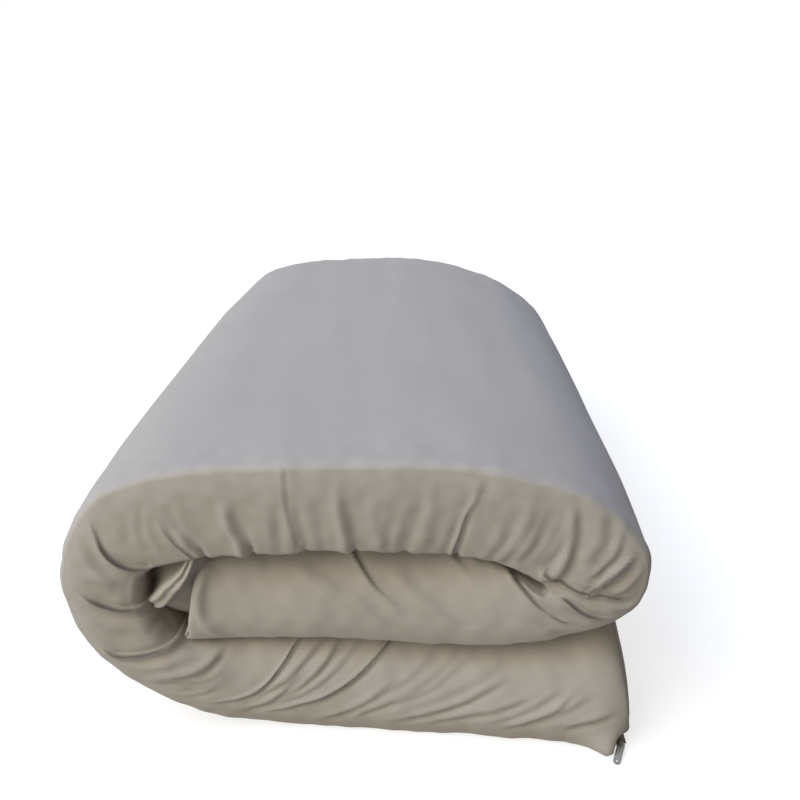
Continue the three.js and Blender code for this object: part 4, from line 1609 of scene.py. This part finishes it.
@dataclass(frozen=True)
class KnitCloth:
    """The cover's greige knit."""

    colour: tuple[float, float, float] = (0.319, 0.287, 0.238)
    # The painted shade's colour, mixed in along the creases where their depth falls in shadow.
    deep: tuple[float, float, float] = (0.07, 0.055, 0.042)
    deepest: float = 0.85  # how much of the painted shade colour a sharp crease has
    painted_highlight: float = 0.35  # how much lighter the painted highlight beside a crease makes the cloth
    raised: float = 0.03  # how much lighter the figure's dots are
    roughness: float = 0.93
    sheen: float = 0.15
    knit_depth: float = 0.0006
    wrinkle_depth: float = 0.005

    def material(self, knit: bpy.types.NodeTree, mottle: bpy.types.NodeTree) -> bpy.types.Material:
        """Makes the material.

        Args:
            knit: the knit's node group.
            mottle: the colour variation's node group.

        Returns:
            The material, which reads the cloth map and paints the crease shade and highlight into its colour.
        """
        made, tree, shader = new_finish(
            "cover_cloth", Roughness=self.roughness, Sheen_Weight=self.sheen, Sheen_Roughness=0.6,
            Specular_IOR_Level=0.15,
        )
        cloth = tree.add("ShaderNodeUVMap", uv_map="cloth").outputs["UV"]
        weave = tree.add("ShaderNodeGroup", {"Vector": cloth}, node_tree=knit)
        crease = tree.add("ShaderNodeAttribute", attribute_name="crease").outputs["Fac"]
        # Painted shade: the crease attribute mixes the dark colour in along the creases.
        deep = tree.clamped(tree.math("MULTIPLY", crease, self.deepest))
        # Painted highlight: where the crease attribute is below 0, the colour is made lighter.
        painted_highlight = tree.clamped(tree.math("MULTIPLY", crease, -1.0))
        bright = tree.math("MULTIPLY_ADD", painted_highlight, self.painted_highlight, 1.0)
        patchy = tree.math("MULTIPLY", tree.patches(mottle, 9.0, 0.1), bright)
        lit = tree.math("MULTIPLY_ADD", weave.outputs["Figure"], self.raised, patchy)
        base = tree.scaled(tree.mixed(deep, self.colour, self.deep), lit)
        tree.link(base, shader.inputs["Base Color"])
        # Long faint wrinkles where the cloth isn't pulled tight.
        stretch = {"Vector": cloth, "Scale": (6.0, 18.0, 1.0), "Rotation": (0, 0, 0.5)}
        drawn = tree.add("ShaderNodeMapping", stretch).outputs[0]
        noise = {"Vector": drawn, "Scale": 1.0, "Detail": 3.0, "Roughness": 0.5, "Distortion": 0.6}
        wrinkle = tree.add("ShaderNodeTexNoise", noise).outputs["Fac"]
        rough = tree.bump(0.3, self.wrinkle_depth, wrinkle)
        fine = tree.bump(0.4, self.knit_depth, weave.outputs["Height"], Normal=rough)
        tree.link(fine, shader.inputs["Normal"])
        return made


@dataclass(frozen=True)
class ZipTape:
    """The zip's woven tape and its coil of the same colour."""

    colour: tuple[float, float, float] = (0.27, 0.245, 0.205)
    roughness: float = 0.85
    rib_scale: float = 320.0
    rib_depth: float = 0.0004

    def material(self, mottle: bpy.types.NodeTree) -> bpy.types.Material:
        """Makes the material, with the tape's fine ribs.

        Args:
            mottle: the colour variation's node group.

        Returns:
            The material.
        """
        made, tree, shader = new_finish("zip_tape", Roughness=self.roughness, Specular_IOR_Level=0.25)
        place = tree.add("ShaderNodeTexCoord").outputs["Object"]
        waves = {"Vector": place, "Scale": self.rib_scale, "Distortion": 0.6, "Detail": 1.0}
        ribs = tree.add("ShaderNodeTexWave", waves, bands_direction="DIAGONAL").outputs["Fac"]
        lit = tree.math("MULTIPLY_ADD", ribs, 0.12, tree.patches(mottle, 60.0, 0.25))
        tree.link(tree.scaled(self.colour, lit), shader.inputs["Base Color"])
        tree.link(tree.bump(0.5, self.rib_depth, ribs), shader.inputs["Normal"])
        return made


@dataclass(frozen=True)
class LacqueredMetal:
    """The slider's and pull's satin grey-green lacquer."""

    colour: tuple[float, float, float] = (0.215, 0.215, 0.175)
    bare: tuple[float, float, float] = (0.31, 0.31, 0.27)
    roughness: float = 0.42
    depth: float = 0.0003

    def material(self, mottle: bpy.types.NodeTree) -> bpy.types.Material:
        """Makes the material, rubbed lighter in places.

        Args:
            mottle: the colour variation's node group.

        Returns:
            The material.
        """
        made, tree, shader = new_finish("zip_metal", Metallic=0.15)
        patch = tree.patches(mottle, 420.0, 0.6)
        tone = tree.mixed(tree.ramp(patch, 1.02, 1.14), self.colour, self.bare)
        tree.link(tone, shader.inputs["Base Color"])
        tree.link(tree.math("MULTIPLY", patch, self.roughness), shader.inputs["Roughness"])
        tree.link(tree.bump(0.15, self.depth, patch), shader.inputs["Normal"])
        return made


@dataclass
class ZipChain:
    """The zip's tape and coil, flat on the floor below the outer end. Sizes in millimetres."""

    tape_thick: float = 1.0
    coil_wide: float = 5.0
    coil_off: float = 12.5  # from the tape's inner edge to the coil's middle
    coil_low: float = 0.6  # of the tape's thickness, from the floor to the coil
    cord_off: float = 3.6
    cord_wide: float = 0.9
    cord_high: float = 0.45
    pitch: float = 2.0
    link_long: float = 1.35
    link_lead: float = 0.8
    round: float = 0.3

    def build(self) -> tuple[bpy.types.Object, bpy.types.Object]:
        """Makes the tape and the coil where the solid of both lies.

        Returns:
            The tape and the coil.
        """
        low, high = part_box("zip_chain")
        tape = self._tape(Vector(low), Vector(high))
        coil = self._coil(Vector(low), Vector(high))
        return tape, coil

    def _tape(self, low: Vector, high: Vector) -> bpy.types.Object:
        """The tape, with a cord sewn along each side of the coil.

        Args:
            low: the chain's lowest corner, in metres.
            high: its highest corner.

        Returns:
            The tape.
        """
        thick = self.tape_thick * MM
        middle = low.x + self.coil_off * MM
        centre = Vector(((low.x + high.x) / 2, (low.y + high.y) / 2, thick / 2))
        tape = block("zip_tape", centre, Vector((high.x - low.x, high.y - low.y, thick)))
        with editing(everything=False):
            for side in (-1, 1):
                for edge in (-0.5, 0.5):
                    x = middle + side * (self.cord_off + edge * self.cord_wide) * MM
                    bpy.ops.mesh.select_all(action="SELECT")
                    bpy.ops.mesh.bisect(plane_co=(x, 0, 0), plane_no=(1, 0, 0))
        for face in tape.data.polygons:
            off = abs(abs(face.center.x - middle) - self.cord_off * MM)
            face.select = face.normal.z > 0.9 and off < self.cord_wide / 4 * MM
        with editing(everything=False):
            bpy.ops.mesh.select_mode(type="FACE")
            bpy.ops.mesh.extrude_region_move(TRANSFORM_OT_translate={"value": (0, 0, self.cord_high * MM)})
        bevel(tape, self.round * 0.5 * MM, 2)
        return tape

    def _coil(self, low: Vector, high: Vector) -> bpy.types.Object:
        """The coil, a row of arrow-shaped links from front to back.

        Args:
            low: the chain's lowest corner, in metres.
            high: its highest corner.

        Returns:
            The coil.
        """
        tall = high.z - self.tape_thick * MM * self.coil_low
        long = self.link_long * MM
        centre = Vector((low.x + self.coil_off * MM, low.y + long / 2, high.z - tall / 2))
        coil = block("zip_coil", centre, Vector((self.coil_wide * MM, long, tall)))
        with editing():
            bpy.ops.mesh.bisect(plane_co=centre, plane_no=(1, 0, 0))
        for vertex in coil.data.vertices:
            vertex.select = abs(vertex.co.x - centre.x) < 1e-6
        with editing(everything=False):
            bpy.ops.mesh.select_mode(type="VERT")
            bpy.ops.transform.translate(value=(0, self.link_lead * MM, 0))
        bevel(coil, self.round * MM, 1)
        row = coil.modifiers.new("row", "ARRAY")
        row.use_relative_offset = False
        row.use_constant_offset = True
        row.constant_offset_displace = (0, self.pitch * MM, 0)
        row.count = int((high.y - low.y - (self.link_long + self.link_lead) * MM) / (self.pitch * MM)) + 1
        bpy.ops.object.modifier_apply(modifier=row.name)
        return coil


@dataclass
class ZipHardware:
    """A hard piece of the zip, finished from its solid with rounded edges."""

    node: str
    round: float = 0.35  # millimetres
    merged: float = 1e-6  # metres between two vertices that become one
    flat: float = 2.0  # degrees between two faces that become one

    def build(self) -> bpy.types.Object:
        """Makes the piece from a merged copy of its solid's mesh.

        Returns:
            The piece.
        """
        made = bpy.data.objects.new(f"{self.node}_finished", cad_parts[self.node].data.copy())
        bpy.context.scene.collection.objects.link(made)
        select_only(made)
        with editing():
            bpy.ops.mesh.remove_doubles(threshold=self.merged)
            bpy.ops.mesh.dissolve_limited(angle_limit=math.radians(self.flat))
        bevel(made, self.round * MM, 2)
        return made


def block(name: str, centre: Vector, size: Vector) -> bpy.types.Object:
    """A block that other shaping starts from, with its place in its mesh.

    Args:
        name: the object's name.
        centre: its middle.
        size: its size each way.

    Returns:
        The block, selected and active.
    """
    for other in bpy.context.selected_objects:
        other.select_set(False)
    bpy.ops.mesh.primitive_cube_add(size=1.0)
    made = bpy.context.active_object
    made.name = name
    with editing():
        bpy.ops.transform.resize(value=size)
        bpy.ops.transform.translate(value=centre)
    return made


def bevel(obj: bpy.types.Object, width: float, segments: int) -> None:
    """Rounds the sharp edges of an object.

    Args:
        obj: the object.
        width: how wide the rounding is, in metres.
        segments: how many faces it has across.
    """
    select_only(obj)
    rounding = obj.modifiers.new("rounding", "BEVEL")
    rounding.width = width
    rounding.segments = segments
    rounding.limit_method = "ANGLE"
    rounding.angle_limit = math.radians(35)
    bpy.ops.object.modifier_apply(modifier=rounding.name)


@dataclass
class Studio:
    """The floor, the lights and the camera."""

    eye: tuple[float, float, float] = (0.0802, -1.2560, 0.7795)
    pitch: float = 22.904
    yaw: float = 1.649
    lens: float = 36.0
    sensor: float = 36.0
    around: tuple[float, float, float] = (0.29, 0.27, 0.235)
    floor_size: float = 40.0
    floor_tone: tuple[float, float, float] = (0.34, 0.33, 0.31)
    floor_seen: tuple[float, float, float] = (0.30, 0.285, 0.26)
    floor_glow: float = 0.74  # to the camera alone

    def build(self) -> None:
        """Makes the whole studio."""
        self._camera()
        self._floor()
        self._world()
        self._light("sky_light", (-0.45, 0.05, 0.89), 50.0, (0.36, 0.52, 0.96))
        self._light("key_light", (-0.62, -0.46, 0.64), 40.0, (0.79, 0.78, 0.72))
        self._lamp("low_light", (-1.25, -1.95, 0.55), (0.0, -0.5, 0.2), 1.1, (0.25, 0.23, 0.195))

    def _camera(self) -> None:
        """Places the camera at the photo's angle."""
        data = bpy.data.cameras.new("camera")
        data.lens = self.lens
        data.sensor_width = self.sensor
        made = bpy.data.objects.new("camera", data)
        made.location = self.eye
        made.rotation_euler = Euler((math.radians(90 - self.pitch), 0, math.radians(self.yaw)))
        bpy.context.scene.collection.objects.link(made)
        bpy.context.scene.camera = made

    def _floor(self) -> None:
        """Makes the floor, which looks white to the camera and throws a little light back up."""
        corners = np.array([(-1, -1, 0), (1, -1, 0), (1, 1, 0), (-1, 1, 0)])
        floor = mesh_object("floor", corners * self.floor_size, [(0, 1, 2, 3)])
        made, tree, shader = new_finish("floor", Roughness=0.9, Specular_IOR_Level=0.1)
        seen = tree.add("ShaderNodeLightPath").outputs["Is Camera Ray"]
        tree.link(tree.mixed(seen, self.floor_tone, self.floor_seen), shader.inputs["Base Color"])
        shader.inputs["Emission Color"].default_value = (1.0, 1.0, 1.0, 1.0)
        tree.link(tree.math("MULTIPLY", seen, self.floor_glow), shader.inputs["Emission Strength"])
        floor.data.materials.append(made)

    def _world(self) -> None:
        """Makes the dim even light around, in which the camera itself sees plain white."""
        world = bpy.data.worlds.new("world")
        world.use_nodes = True
        back = world.node_tree.nodes["Background"]
        tree = NodeTree(world.node_tree)
        seen = tree.add("ShaderNodeLightPath").outputs["Is Camera Ray"]
        tree.link(tree.mixed(seen, self.around, (1.0, 1.0, 1.0)), back.inputs["Color"])
        bpy.context.scene.world = world

    def _lamp(
        self, name: str, place: tuple[float, float, float], aim: tuple[float, float, float], size: float,
        light: tuple[float, float, float],
    ) -> None:
        """Adds one soft round lamp that lights the near side more than the far one.

        Args:
            name: the lamp's name.
            place: where it stands.
            aim: the place that it points at.
            size: how wide it is.
            light: the light it gives there in red, green and blue, where 1 makes a white sheet white.
        """
        way = Vector(aim) - Vector(place)
        made = self._source(name, "AREA", way, light, math.pi**2 * way.length_squared)
        made.location = place
        made.data.shape = "DISK"
        made.data.size = size

    def _light(
        self, name: str, way: tuple[float, float, float], wide: float, light: tuple[float, float, float]
    ) -> None:
        """Adds one wide soft light that is far away, so the whole floor gets the same.

        Args:
            name: the light's name.
            way: the direction that it comes from.
            wide: how wide it looks, in degrees.
            light: the light it gives in red, green and blue, where 1 makes a white sheet white.
        """
        made = self._source(name, "SUN", -Vector(way), light, math.pi)
        made.data.angle = math.radians(wide)

    @staticmethod
    def _source(
        name: str, kind: str, way: Vector, light: tuple[float, float, float], power: float
    ) -> bpy.types.Object:
        """Adds a light that shines a given way.

        Args:
            name: the light's name.
            kind: its kind.
            way: the direction that it shines.
            light: the light it gives in red, green and blue.
            power: the energy that makes a white sheet white.

        Returns:
            The light's object.
        """
        most = max(light)
        data = bpy.data.lights.new(name, kind)
        data.energy = most * power
        data.color = tuple(part / most for part in light)
        made = bpy.data.objects.new(name, data)
        made.rotation_euler = way.to_track_quat("-Z", "Y").to_euler()
        bpy.context.scene.collection.objects.link(made)
        return made


def smooth(obj: bpy.types.Object, degrees: float) -> None:
    """Shades an object smooth except at edges sharper than an angle."""
    select_only(obj)
    bpy.ops.object.shade_smooth_by_angle(angle=math.radians(degrees))


def dress(obj: bpy.types.Object, finish: bpy.types.Material, node: str, slot: str) -> None:
    """Gives a finished piece its material and its place in the part.

    Args:
        obj: the piece.
        finish: its material.
        node: the solid that it stands for.
        slot: the record's material slot.
    """
    smooth(obj, 75 if slot == "cover_cloth" else 40)
    obj.data.materials.clear()
    obj.data.materials.append(finish)
    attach(obj, "root")
    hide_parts(node)
    LOG.info("%s: %d faces", obj.name, len(obj.data.polygons))


def main() -> None:
    """Builds the mattress, its zip and the studio."""
    logging.basicConfig(level=logging.INFO, format="%(message)s")
    bpy.context.scene.view_settings.view_transform = "Standard"
    knit, mottle = knit_group(), mottle_group()
    cloth = KnitCloth().material(knit, mottle)
    mattress = RolledMattress()
    body = mattress.build()
    unite(body, Tuck().build())
    dress(body, cloth, "mattress", "cover_cloth")
    tape_finish = ZipTape().material(mottle)
    metal_finish = LacqueredMetal().material(mottle)
    for piece in ZipChain().build():
        dress(piece, tape_finish, "zip_chain", "zip_tape")
    for node in ("zip_slider", "zip_pull"):
        dress(ZipHardware(node).build(), metal_finish, node, "zip_metal")
    Studio().build()


if __name__ == "__main__":
    main()
